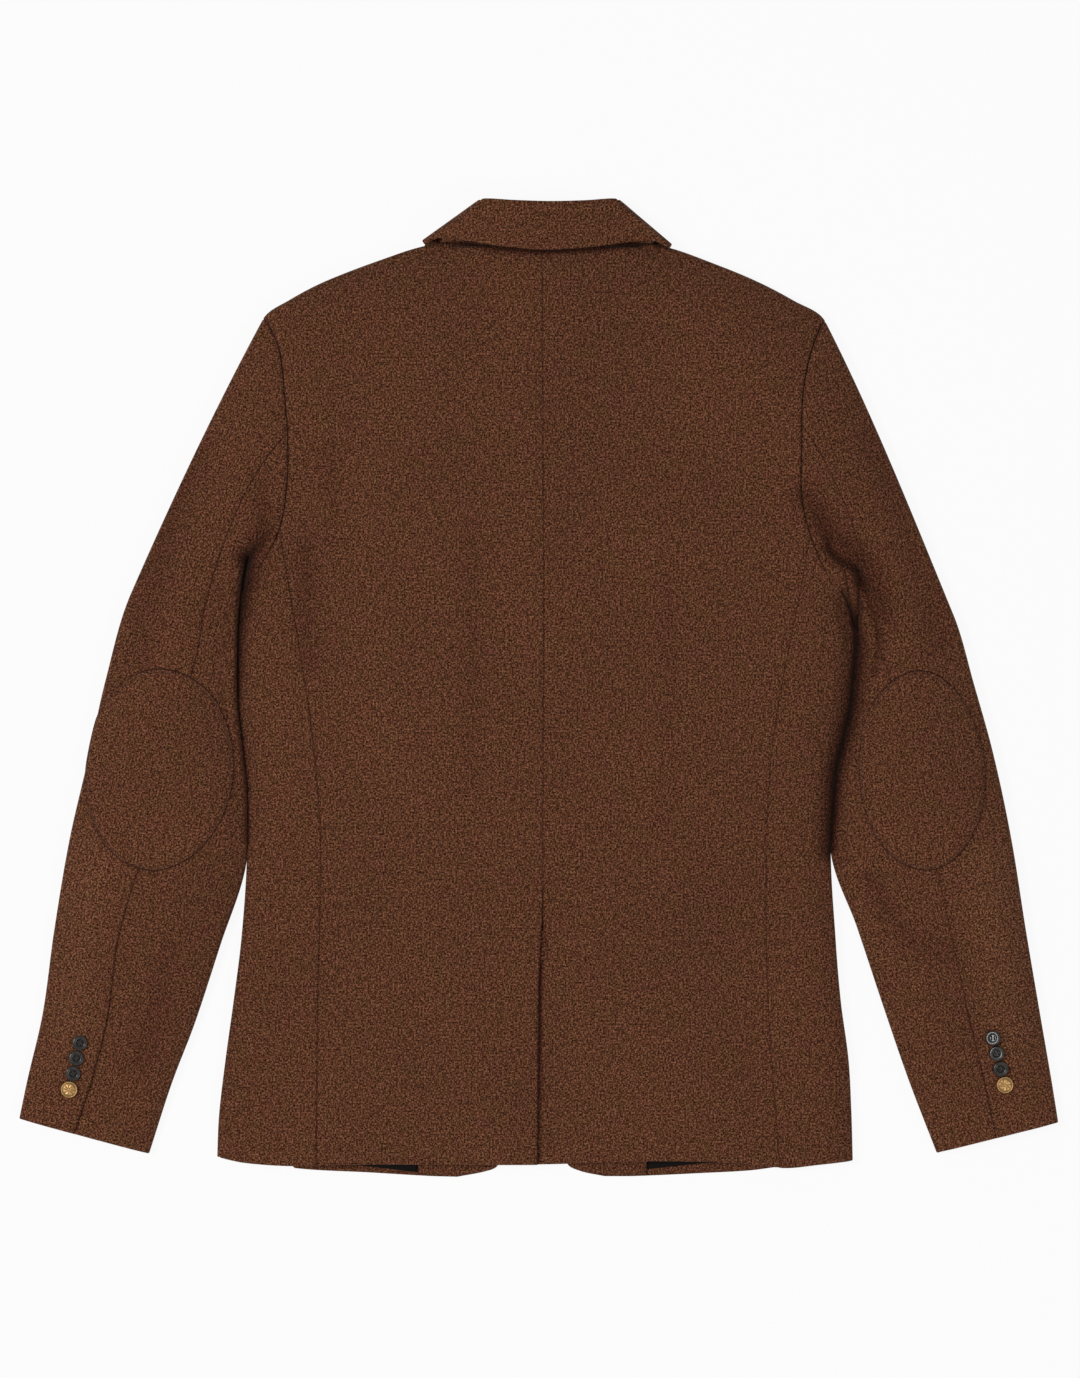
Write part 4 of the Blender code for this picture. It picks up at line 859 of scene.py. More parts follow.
def back(side, cell):
    """Back half, hem to shoulder, with its share of the shoulder's fold and the right's underlap."""
    seam = side_back_seam(side)
    low = along(seam, spread(seam, 1 - pitch(470, cell, "first")))
    up = armhole_plan(side, np.linspace(foot_share(side), 0, round(190 / cell))[1:], "upper")
    outer = np.vstack([low, up])
    upward = running(outer) / running(outer)[-1]
    centre = np.array(CENTRE_BACK, float)[::-1]
    y = centre[0, 1] + upward * (centre[-1, 1] - NECK_TURN - centre[0, 1])
    middle = np.stack([np.interp(y, centre[:, 1], centre[:, 0]), y], -1)
    if side == "right":
        middle[:, 0] -= UNDERLAP * np.clip((VENT_TOP - y) / VENT_SLANT, 0, 1)
    shares = pitch(160, cell, "last")
    edge, normal, radius = shoulder_edge(side, shares)
    shoulder = inset(edge, normal, radius, FOLD_TOP)
    start = pitch(80, cell, "first")[:-1, None]
    neck = middle[-1] + start * (shoulder[0] - middle[-1])
    top = np.vstack([neck, shoulder])
    across = running(top) / running(top)[-1]
    bottom = hem_between(middle[0, 0], outer[0, 0], across)
    plan = coons(bottom, top, middle, outer, across, upward)
    grid = lifted(plan, back_height(plan) if side == "left" else right_back_height(plan))
    lift = front_lift(edge, side)
    arcs = fold_lines(edge, normal, radius, FOLD_TOP, SHOULDER_SEAM, 12, lift)
    neck = grid[-1, :len(neck)]
    arcs = [np.vstack([neck + np.array([0, NECK_TURN * (k + 1) / len(arcs), 0]), arc])
            for k, arc in enumerate(arcs)]
    grid = np.concatenate([grid, arcs])
    at_vent = grid[:, 0, 1] < VENT_TOP
    vent = np.where(at_vent, HEM_ROLL, SEAM_ROLL)[:, None]
    # Each seam's mark sets its hollow and its painted shade; the left half's vent edge gets strong
    # painted shade for the shadow of its lap.
    centre_mark = np.where(at_vent, 0.9 if side == "left" else 0.0, 0.34)[:, None]
    outer_mark = np.where(np.arange(len(grid)) < len(low), SIDE_BACK_MARK[side], 1.0)[:, None]
    # Painted shadow on the right half's underlap, beside the left half's vent edge.
    beside = grid[..., 0] - np.interp(grid[..., 1], centre[:, 1], centre[:, 0])
    vent_shadow = bell(beside - 0.6, 1.6) * (side == "right") * (grid[..., 1] < VENT_TOP + 5)
    # Painted shadow on the back just below the collar's edge, faded out on the lower layer.
    collar_shadow = bell(distance(grid[..., :2], collar_edge() - np.array([0, 1.6]))[0], 2.6)
    collar_shadow *= np.clip((grid[..., 2] - 8) / 3, 0, 1)
    shell(f"back_{side}_cloth", grid, "tweed", (HEM_ROLL, SEAM_ROLL, vent, SEAM_ROLL),
          (0, SEAM, SEAM, SEAM), (0, 0.5, centre_mark, outer_mark),
          dark=0.9 * np.maximum(vent_shadow, collar_shadow))


def side_body(side, cell):
    """Side body: from the side-back seam round the fold to the side-front seam."""
    fold = side_fold(side)
    shares = pitch(470, cell)
    at = spread(fold, shares)
    edge = along(fold, at)
    blend = np.clip(at / 0.6, 0, 1)[:, None]
    outwards = outward(fold, at, np.array([SIGN[side], 0.0]))
    normal = unit((1 - blend) * underarm_normal(side) + blend * outwards)
    radius = fold_radius(edge)
    upper_in, lower_in = (inset(edge, normal, radius, angle) for angle in (FOLD_TOP, FOLD_FOOT))
    back_line, front_line = (along(seam, spread(seam, shares))
                             for seam in (side_back_seam(side), side_front_seam(side)))
    width = pitch(62, cell, "first")
    top = armhole_plan(side, foot_share(side) + width * (1 - foot_share(side)), "upper")
    hem = hem_between(back_line[-1, 0], upper_in[-1, 0], width)
    plan = np.swapaxes(coons(back_line, upper_in, top, hem, shares, width), 0, 1)
    grid = lifted(plan, upper(plan))
    arcs = fold_lines(edge, normal, radius, FOLD_TOP, FOLD_FOOT, FOLD_LINES_ROUND)[:-1]
    width = pitch(58, UNDERSIDE_CELL, "last")
    top = armhole_plan(side, 1 + width * (FOREARM_SEAM - 1), "lower")
    hem = lower_in[-1] + width[:, None] * (front_line[-1] - lower_in[-1])
    plan = np.swapaxes(coons(lower_in, front_line, top, hem, shares, width), 0, 1)
    grid = np.concatenate([grid, np.stack(arcs, 1), lifted(plan, CLOTH / 2)], 1)
    shell(f"side_{side}_cloth", grid, "tweed", (SEAM_ROLL, HEM_ROLL, SEAM_ROLL, SEAM_ROLL),
          (SEAM, 0, SEAM, SEAM), (1.0, 0, SIDE_BACK_MARK[side], 0.5))


def front(side):
    """Front, on the lower layer from seam to front edge, with its share of the shoulder's fold."""
    seam = side_front_seam(side)
    rows = pitch(734, UNDERSIDE_CELL)
    armhole = 0.625     # share of the height at which the armhole begins
    low, high = rows[rows <= armhole], rows[rows > armhole]
    outer = np.vstack([along(seam, spread(seam, 1 - low / armhole)),
                       armhole_plan(side, FOREARM_SEAM * (1 - (high - armhole) / (1 - armhole)),
                                    "lower")])
    line = np.array(FRONT_EDGE[side], float)[::-1]
    sixteenths, knot_numbers = (0, 2, 4, 6, 8, 11, 14, 16), (0, 2, 3, 5, 6, 7, 8, 10)
    middle = along(line, np.interp(rows * 16, sixteenths, knot_numbers))
    width = pitch(200, UNDERSIDE_CELL)
    edge, normal, radius = shoulder_edge(side, 1 - width)
    top = inset(edge, normal, radius, FOLD_FOOT)
    middle[-1] = top[-1]
    hem_line = knots(FRONT_HEM[side][:-1], [outer[0]])[::-1]
    bottom = along(hem_line, spread(hem_line, width))
    plan = coons(bottom, top, outer, middle, width, rows)
    grid = lifted(plan, CLOTH / 2 + front_lift(plan, side))
    arcs = fold_lines(edge, normal, radius, FOLD_FOOT, SHOULDER_SEAM, 7, front_lift(edge, side))
    grid = np.concatenate([grid, arcs])
    shell(f"front_{side}_cloth", grid, "tweed", (HEM_ROLL, SEAM_ROLL, SEAM_ROLL, HEM_ROLL),
          (0, SEAM, SEAM, 0), (0, 0.5, 0.5, 0))


def lapel(side):
    """The turned part of a front, lying under it."""
    roll, edge = LAPEL[side]
    rows = pitch(360, LAPEL_CELL)
    inner = straight(roll, rows)
    outer = along(edge, spread(edge, rows))
    across = pitch(90, LAPEL_CELL)[None, :, None]
    grid = lifted(inner[:, None] * (1 - across) + outer[:, None] * across, CLOTH / 2)
    shell(f"lapel_{side}_cloth", grid, "tweed", (HEM_ROLL,) * 4, (0,) * 4, (0,) * 4)


def facing(side):
    """The turned-in cloth inside a front's hem, where the back hem leaves it in sight."""
    edge = np.array(FRONT_EDGE[side], float)[::-1]
    hem = knots(FRONT_HEM[side][:-1])
    inner_x = FACING_INNER[side]
    order = 1 if side == "right" else -1
    corner = np.interp(inner_x, hem[::order, 0], np.arange(len(hem))[::order])
    bottom = np.vstack([along(hem, np.linspace(corner, 0, 14))[:-1],
                        along(edge, np.linspace(0, 2, 14))])
    bottom[:, 1] += FACING_INSET
    outer = along(edge, np.linspace(2, 2.5, 10)) + np.array([SIGN[side] * FACING_INSET, 0])
    outer[0] = bottom[-1]
    inner = np.linspace(bottom[0], [inner_x, FACING_TOP], 10)
    shares = np.linspace(0, 1, len(bottom))
    top = inner[-1] + shares[:, None] * (outer[-1] - inner[-1])
    plan = coons(bottom, top, inner, outer, shares, np.linspace(0, 1, 10))
    grid = lifted(plan, CLOTH / 2 + LAYER + front_lift(plan, side))
    shell(f"facing_{side}_cloth", grid, "tweed", (HEM_ROLL,) * 4, (0, 0, SEAM, 0), (0,) * 4)


def lining(side):
    """The lining inside a front's hem."""
    bottom = straight(LINING_EDGE[side], np.linspace(0, 1, 40))
    top = np.stack([bottom[:, 0], np.full(40, FACING_TOP)], -1)
    plan = bottom + np.linspace(0, 1, 12)[:, None, None] * (top - bottom)
    height = CLOTH / 2 + LAYER - 0.25 + front_lift(plan, side) + 0.18 * ripple(plan, (14, 30), 5)
    shell(f"lining_{side}_cloth", lifted(plan, height), "lining", (LINING_ROLL,) * 4,
          (0, 0, 0, SEAM), (0,) * 4, LINING_WALL)


def collar_stations():
    """The collar's stations, those of a fold in five steps.

    Each has its neck, crease and fall in plan, the way from stand to fall, the height midway
    between the two and half their pitch."""
    found = []
    for *row, layer in COLLAR_PLACES:
        plan = np.array(row, float).reshape(3, 2)
        if layer != "fold":
            up = layer == "upper"
            way = np.array([0, 0, 1.0 if up else -1.0])
            found.append((plan, way, COLLAR_MID[up], COLLAR_HALF[up]))
            continue
        at_left = plan[0, 0] < 0
        away = np.array([-0.6 if at_left else 0.6, 0.8])
        angles = np.radians((-65, -35, 0, 35, 65))
        for angle in angles if at_left else angles[::-1]:
            share = (1 + math.sin(angle)) / 2
            mid, half = (low + (high - low) * share for low, high in (COLLAR_MID, COLLAR_HALF))
            way = np.r_[away * math.cos(angle), math.sin(angle)]
            found.append((plan - away * COLLAR_ROLL * (1 - math.cos(angle)), way, mid, half))
    return found


def collar():
    """Stand and fall in one, folded along the crease and carried round the neck to both gorges."""
    rows = []
    for (neck, crease, fall), way, mid, half in collar_stations():
        lean = crease - (neck + fall) / 2
        lean = np.r_[lean / np.linalg.norm(lean), 0]
        root = np.r_[crease, mid] - lean * half - np.r_[way[:2], 0] * half
        tuck, drop = np.array(NECK_TUCK) * ease((mid - 8) / 8)
        neck = np.array([neck[0], neck[1] - tuck, mid - way[2] * half - drop])
        fall = np.r_[fall, mid + way[2] * half]
        row = [neck + (root - way * half - neck) * t for t in (0.0, 0.5, 1.0)]
        row += [root + lean * half * math.cos(a) + way * half * math.sin(a)
                for a in np.radians((-45, 0, 45))]
        root = root + way * half
        for t, drop in zip((0.0, 0.33, 0.66, 1.0), GORGE_DROP):
            drop *= neck[1] < GORGE_LEVEL
            row.append(root + (fall - root) * t - np.array([0, drop, 0]))
        rows.append(row)
    coarse = np.array(rows)
    last = len(coarse) - 1.0
    at = np.sort(np.r_[0.03, 0.08, np.linspace(0, last, 120), last - 0.08, last - 0.03])
    across = np.r_[0, 0.02, 0.05, np.linspace(0.2, 1.8, 6), np.linspace(2, 6, 22),
                   np.linspace(6.15, 8.8, 14), 8.92, 8.96, 8.98, 9]
    grid = refine(coarse, at, across)
    on_top = ease((grid[..., 2] - 14) / 3)
    grid[..., 2] += 0.35 * ripple(grid[..., :2], (38, 17), 21) * on_top
    shell("collar_cloth", grid, "tweed", (HEM_ROLL, HEM_ROLL, STAND_ROLL, HEM_ROLL),
          (0, 0, STAND_LAP, 0), (0,) * 4)


def sleeve(side, cell):
    """Top and under sleeve, seam to seam round each fold."""
    fold = outer_fold(side)
    spans = spread(fold, pitch(655, cell), TIP) - TIP
    a, a_n, b, b_n = sleeve_edges(side, spans)
    seam = sleeve_seam(side, spans)[:, None]
    for piece, edge, normal, far, width, step in (("top", a, a_n, 0.0, 70, CUFF_STEP),
                                                  ("under", b, b_n, 1.0, 62, -CUFF_STEP)):
        across = seam + pitch(width, cell, "first")[None] * (far - seam)
        plan = sleeve_plan(side, np.broadcast_to(spans[:, None], across.shape), across, "upper")
        grid = lifted(plan, upper(plan, "sleeve"))
        gate = ease((CUFF_VENT - plan[..., 1]) / 14) * ease(1 - edge_lengths(grid)[2] / 15)
        grid[..., 2] += gate * step
        arcs = fold_lines(edge, normal, fold_radius(edge), FOLD_TOP, FOLD_FOOT, FOLD_LINES_ROUND)
        shares = far + pitch(90, UNDERSIDE_CELL, "last")[None] * (FOREARM_SEAM - far) + 0 * seam
        plan = sleeve_plan(side, np.broadcast_to(spans[:, None], shares.shape), shares, "lower")
        grid = np.concatenate([grid, np.stack(arcs[:-1], 1), lifted(plan, CLOTH / 2)], 1)
        grid[..., 2] -= ARMHOLE_DIP * bell(edge_lengths(grid)[0], 5) * on_upper_layer(grid)
        vent = np.where(grid[:, 0, 1] < CUFF_VENT, HEM_ROLL, SEAM_ROLL)[:, None]
        shell(f"{piece}_sleeve_{side}_cloth", grid, "tweed", (SEAM_ROLL, HEM_ROLL, vent, SEAM_ROLL),
              (SEAM, 0, SEAM, SEAM), (1.0, 0, HINDARM_MARK[side], 0.5), grain=SLEEVE_GRAIN[side])


def sleeve_surface(side, spans, girths):
    """Grid over the sleeve by span and by girth, 0 being the widest line of the outer fold."""
    rows = []
    shares = np.linspace(0, 1, 90)
    for span in spans:
        up = sleeve_plan(side, np.full(90, span), shares, "upper")
        low = sleeve_plan(side, np.full(90, span), shares, "lower")
        a, a_n, b, b_n = sleeve_edges(side, span)
        turns = np.linspace(-math.pi / 2, FOLD_TOP, 21)
        outer = [fold_arc(a, a_n, fold_radius(a), angle) for angle in turns[1:-1]]
        inner = [fold_arc(b, b_n, fold_radius(b), angle) for angle in turns[::-1][1:-1]]
        ring = np.vstack([lifted(low, CLOTH / 2)[::-1], outer, lifted(up, upper(up, "sleeve")), inner])
        run = running(ring)
        widest = run[89] + math.radians(75) * fold_radius(a)
        rows.append(np.stack([np.interp(girths, run - widest, ring[:, k]) for k in range(3)], -1))
    return np.array(rows)


def at_place(surface, rows, columns):
    """Points of a gridded surface at fractional row and column numbers."""
    i = np.clip(np.floor(rows).astype(int), 0, surface.shape[0] - 2)
    j = np.clip(np.floor(columns).astype(int), 0, surface.shape[1] - 2)
    f, g = (rows - i)[..., None], (columns - j)[..., None]
    return ((surface[i, j] * (1 - f) + surface[i + 1, j] * f) * (1 - g)
            + (surface[i, j + 1] * (1 - f) + surface[i + 1, j + 1] * f) * g)


def elbow_patch(side):
    """Oval patch laid on the sleeve, with a turned edge and a line of stitches inside it."""
    centre, reach, width, length = PATCH[side]
    spans = np.linspace(centre - 1.7, centre + 1.7, 60)
    girths = np.linspace(reach - 0.6 * width, reach + 0.6 * width, 70)
    surface = sleeve_surface(side, spans, girths)
    normal = normals_of(surface)
    normal *= np.sign(normal[30, 35, 2])
    middle = np.array([[np.interp(reach, girths, line) for line in row.T] for row in surface])
    run = running(middle) - np.interp(centre, spans, running(middle))
    half_w, half_l = width / 2, length / 2
    cos_lean, sin_lean = math.cos(PATCH_TURN[side]), math.sin(PATCH_TURN[side])

    def place(ring, turn):
        """Surface point and normal of the patch at a share of its radius and an angle."""
        x = ring * half_w * np.cos(turn) * (1 + PATCH_EGG[side] * np.sin(turn))
        y = ring * half_l * np.sin(turn)
        across = reach + x * cos_lean - y * sin_lean
        up = x * sin_lean + y * cos_lean
        rows = np.interp(-up, run, np.arange(60.0))
        columns = np.interp(across, girths, np.arange(70.0))
        point, out = at_place(surface, rows, columns), at_place(normal, rows, columns)
        return point, unit(out), np.stack([across, up], -1)

    turn = np.linspace(0, 2 * math.pi, PATCH_SPOKES, endpoint=False)
    mean = (half_w + half_l) / 2
    steps = np.array([5.2, 4.2, 3.4, 2.8, 2.3, 1.8, 1.3, 0.9, 0.5, 0.2, 0])
    rings = np.r_[np.linspace(0.02, 1 - 6.5 / mean, 24), 1 - steps / mean]
    point, out, cloth_place = place(*np.meshgrid(rings, turn, indexing="ij"))
    inward = (1 - rings[:, None]) * mean
    top = PATCH_THICKNESS * rolled(inward, PATCH_ROLL) - 0.6 * bell(inward - STITCH_INSET, 0.7)
    top = top + 0.2 * ripple(point[..., :2], (13, 16), 31) * ease(inward / 8)
    above = CLOTH / 2 + PATCH_GAP
    layers = [point + out * (above + np.maximum(top, 0.05))[..., None], point + out * above]
    count = len(rings) * PATCH_SPOKES
    top_faces = grid_faces(len(rings), PATCH_SPOKES, wrap=True)
    first = np.arange(PATCH_SPOKES)
    last = count - PATCH_SPOKES + first
    far = np.roll(last, -1)
    rim = np.stack([last, far, far + count, last + count], -1)
    data = closed_mesh(f"elbow_patch_{side}_cloth",
                       np.vstack([layer.reshape(-1, 3) for layer in layers]),
                       [*top_faces, *(top_faces[:, ::-1] + count), *rim, first, first + count])
    # The third number of cut is painted shade along the patch's turned edge, where its shadow falls.
    cut = lifted(cloth_place, bell(inward, 0.9)).reshape(-1, 3)
    store(data, "cut", np.vstack([cut, cut]))
    thing = link(f"elbow_patch_{side}_cloth", data, finish("patch_tweed"))
    ride_as(thing, f"elbow_patch_{side}")
    line, out, _ = place(np.full(400, 1 - STITCH_INSET / mean), np.linspace(0, 2 * math.pi, 401)[:-1])
    thread = stitches(f"elbow_patch_{side}_stitches", line + out * (above + STITCH_LEVEL), out, *STITCH)


def stitches(name, line, normal, length, gap, thickness):
    """A closed line of short threads, each sunk at its ends."""
    ring = np.vstack([line, line[:1]])
    run = running(ring)
    count = max(3, round(run[-1] / (length + gap)))
    starts = np.arange(count) * run[-1] / count
    points, faces = [], []
    for start in starts:
        at = start + length * np.array([0, 0.12, 0.35, 0.65, 0.88, 1.0])
        path = np.stack([np.interp(at % run[-1], run, ring[:, k]) for k in range(3)], -1)
        up = normal[min(int(start / run[-1] * len(normal)), len(normal) - 1)]
        across = np.cross(up, unit(path[-1] - path[0]))
        bow = thickness * np.array([-1.2, -0.1, 0.5, 0.5, -0.1, -1.2])
        width = thickness * np.array([0.5, 0.9, 1.0, 1.0, 0.9, 0.5])
        first = len(points) * 6
        for p, b, w in zip(path, bow, width):
            points.append([p + up * (b + w * math.sin(a)) + across * w * math.cos(a)
                           for a in np.linspace(0, 2 * math.pi, 7)[:-1]])
        faces.append(grid_faces(6, 6, first, wrap=True))
    mesh = smooth_mesh(name, np.array(points).reshape(-1, 3), np.vstack(faces))
    thing = link(name, mesh, finish("thread"))
    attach(thing, "root")
    return thing


# ---------------------------------------------------------------- buttons

def turned(profile, segments):
    """Rings of a turned form from a profile of radius and height, each ring closed."""
    turn = np.linspace(0, 2 * math.pi, segments, endpoint=False)
    profile = np.array(profile, float)
    return np.stack([profile[:, :1] * np.cos(turn), profile[:, :1] * np.sin(turn),
                     np.broadcast_to(profile[:, 1:], (len(profile), segments))], -1)


def closed_turned(name, grid):
    """A closed mesh from the rings of a turned form, its ends filled."""
    points = grid.reshape(-1, 3)
    rows, segments = grid.shape[:2]
    first = np.arange(segments)
    return closed_mesh(name, points, [*grid_faces(rows, segments, wrap=True),
                                      first, first + len(points) - segments])


def four_holes(data, radius, height):
    """Cut four thread holes through a button."""
    thing = bpy.data.objects.new("blank", data)
    bpy.context.scene.collection.objects.link(thing)
    cutters = []
    for k in range(4):
        turn = math.pi / 4 + k * math.pi / 2
        hole = turned([(radius * HOLE_SHARE * f, height * z) for f, z in ((1, -1), (1, 2))], 16)
        hole += np.array([math.cos(turn), math.sin(turn), 0]) * radius * HOLE_PITCH
        cutter = bpy.data.objects.new("cutter", closed_turned("cutter", hole))
        bpy.context.scene.collection.objects.link(cutter)
        cut = thing.modifiers.new("hole", "BOOLEAN")
        cut.object = cutter
        cutters.append(cutter)
    view = bpy.context.evaluated_depsgraph_get()
    cut_mesh = bpy.data.meshes.new_from_object(thing.evaluated_get(view))
    for waste in (thing, *cutters):
        bpy.data.objects.remove(waste, do_unlink=True)
    cut_mesh.shade_smooth()
    cut_mesh.set_sharp_from_angle(angle=math.radians(40))
    return cut_mesh


def sew_on(node, form, slot, place, normal, turn):
    """Set a button's underside at a place, facing along a normal and turned about it."""
    thing = link(node + "_form", form, finish(slot))
    face = Vector(normal).to_track_quat("Z", "Y").to_matrix().to_4x4()
    turned_face = face @ Matrix.Rotation(turn, 4, "Z")
    thing.matrix_world = Matrix.Translation(Vector(place * MM)) @ turned_face
    ride_as(thing, node)
    return thing


def horn_button(node, diameter, height, place, normal, turn):
    """A dished four-hole button with a rounded rim, sewn on with two bars of thread."""
    r = diameter / 2
    profile = ((0.02, 0.46), (0.40, 0.46), (0.44, 0.56), (0.47, 0.76), (0.51, 0.90), (0.60, 0.97),
               (0.72, 1.0), (0.83, 0.98), (0.91, 0.91), (0.965, 0.78), (1.0, 0.58), (0.985, 0.36),
               (0.93, 0.16), (0.82, 0.03), (0.7, 0.0), (0.02, 0.0))
    data = closed_turned(node, turned([(x * r, z * height) for x, z in profile], 64))
    data = four_holes(data, r, height)
    data.name = node + "_form"
    thing = sew_on(node, data, "dark_button", place, normal, turn)
    along_bar = np.linspace(-1, 1, 11)
    hole = r * HOLE_PITCH * math.sqrt(0.5)
    thin = r * 0.062
    round_thread = np.linspace(0, 2 * math.pi, 9)[:-1]
    beside = np.array([0, 1.0, 0])
    rows = []
    for s in (-1, 1):
        line = np.stack([along_bar * hole, np.full(11, s * hole),
                         height * (0.56 - 0.5 * along_bar ** 8)], -1)
        up = np.cross(unit(np.gradient(line, axis=0)), beside)
        for offset in (-0.85, 0.85):
            rows.append(line[:, None]
                        + beside * (thin * (offset + np.cos(round_thread)))[None, :, None]
                        + up[:, None] * (thin * np.sin(round_thread))[None, :, None])
    points = np.array(rows).reshape(-1, 3)
    faces = np.vstack([grid_faces(11, 8, 88 * k, wrap=True) for k in range(4)])
    thread = smooth_mesh(node + "_thread", points, faces)
    thread = link(thread.name, thread, finish("button_thread"))
    thread.matrix_world = thing.matrix_world
    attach(thread, "root")


def brass_button(node, diameter, height, place, normal, turn):
    """A domed brass shank button with a roped rim and a plain rosette in soft relief."""
    r = diameter / 2
    radii = np.r_[np.linspace(0.03, 0.96, 44), 1.0, 1.0, 0.97, 0.9, 0.6, 0.03]
    turns = np.linspace(0, 2 * math.pi, 120, endpoint=False)
    rho, phi = np.meshgrid(radii[:44], turns, indexing="ij")
    dome = 0.97 - 0.22 * rho ** 2
    rope = bell(rho - 0.9, 0.045) * (0.07 + 0.03 * np.cos(26 * phi + 9 * rho))
    ring = -0.05 * bell(rho - 0.79, 0.03)
    petals = 0.075 * ease((0.70 - rho) / 0.1) * ease((rho - 0.16) / 0.1)
    petals *= 0.5 + 0.5 * np.cos(8 * phi + 5 * rho)
    boss = 0.08 * ease((0.17 - rho) / 0.06)
    top = (dome + rope + ring + petals + boss) * height / 1.02
    lower = np.array([0.66, 0.40, 0.22, 0.08, 0.0, 0.0])[:, None] * height
    z = np.vstack([top, np.broadcast_to(lower, (6, 120))])
    grid = np.stack([radii[:, None] * r * np.cos(turns), radii[:, None] * r * np.sin(turns), z], -1)
    data = closed_turned(node + "_form", grid)
    relief = np.r_[(rope / 0.1 + petals / 0.075 + boss / 0.08 + ring * 8).ravel(), np.full(720, 0.2)]
    store(data, "relief", np.clip(relief, -0.4, 1))
    sew_on(node, data, "brass", place, normal, turn)


def sleeve_top(place):
    """Point and normal of the sleeve's upper layer at a plan point."""
    steps = np.array([[0, 0], [1.5, 0], [-1.5, 0], [0, 1.5], [0, -1.5]])
    z = upper(np.array(place, float) + steps, "sleeve")
    normal = np.array([z[2] - z[1], z[4] - z[3], 3.0])
    return np.r_[place, z[0]], unit(normal)


# ---------------------------------------------------------------- finishes

class Value:
    """A number on a shader socket that can be used in sums."""

    def __init__(self, maker, socket):
        self.maker, self.socket = maker, socket

    def joined(self, operation, other, swapped=False):
        """The Math node of an operation on this value and another, or on the two swapped."""
        pair = (other, self) if swapped else (self, other)
        return self.maker.node("Math", {"operation": operation}, {0: pair[0], 1: pair[1]})

    def __add__(self, other):
        return self.joined("ADD", other)

    __radd__ = __add__

    def __sub__(self, other):
        return self.joined("SUBTRACT", other)

    def __rsub__(self, other):
        return self.joined("SUBTRACT", other, True)

    def __mul__(self, other):
        return self.joined("MULTIPLY", other)

    __rmul__ = __mul__


class Maker:
    """Builds the nodes of one material or world."""

    def __init__(self, made):
        self.made = made
        made.use_nodes = True
        self.tree = made.node_tree
        self.tree.nodes.clear()

    def node(self, kind, settings=None, sockets=None, out=0):
        """Add a node, set it up, then feed its sockets; the chosen output comes back as a value."""
        made = self.tree.nodes.new("ShaderNode" + kind)
        for key, value in (settings or {}).items():
            setattr(made, key, value)
        for key, value in (sockets or {}).items():
            socket = made.inputs[key]
            if isinstance(value, Value):
                self.tree.links.new(value.socket, socket)
            elif isinstance(value, tuple) and len(value) == 3 and socket.type == "RGBA":
                socket.default_value = (*value, 1.0)
            else:
                socket.default_value = value
        return Value(self, made.outputs[out]) if len(made.outputs) else made

    def mix(self, share, first, second, blend="MIX"):
        """Mix two colours."""
        return self.node("Mix", {"data_type": "RGBA", "blend_type": blend},
                         {0: share, 6: first, 7: second}, out=2)

    def scaled(self, vector, size, turn=0.0):
        """A vector in mm measured in pieces of the given size, after a turn about Z."""
        return self.node("Mapping", {"vector_type": "TEXTURE"},
                         {"Vector": vector, "Rotation": (0, 0, turn), "Scale": (*size, 1.0)})

    def noise(self, vector, detail=2.0, roughness=0.5, distortion=0.0):
        """Flat noise, one grain to each unit of the vector."""
        return self.node("TexNoise", {"noise_dimensions": "2D"},
                         {"Vector": vector, "Scale": 1.0, "Detail": detail, "Roughness": roughness,
                          "Distortion": distortion})

    def between(self, value, low, high):
        """0 below low, 1 above high, smooth between them."""
        return self.node("MapRange", {"interpolation_type": "SMOOTHSTEP"},
                         {0: value, 1: low, 2: high, 3: 0.0, 4: 1.0})

    def seen(self):
        """1 where a ray of the camera, of a reflection or through glass arrives, otherwise 0."""
        seen, mirrored, through = (self.node("LightPath", out=k) for k in (0, 3, 6))
        return self.node("Math", {"operation": "MINIMUM"}, {0: seen + mirrored + through, 1: 1.0})

    def finish(self, sockets):
        """End the material in one shader with these sockets."""
        self.node("OutputMaterial", {}, {0: self.node("BsdfPrincipled", {}, sockets)})
        return self.made


def finish(slot):
    """The material of a slot, made on first use."""
    name = "blazer_" + slot
    if name in bpy.data.materials:
        return bpy.data.materials[name]
    maker = {"tweed": tweed, "patch_tweed": tweed, "lining": satin, "dark_button": horn,
             "brass": brass, "thread": sewn, "button_thread": sewn}[slot]
    return maker(name)


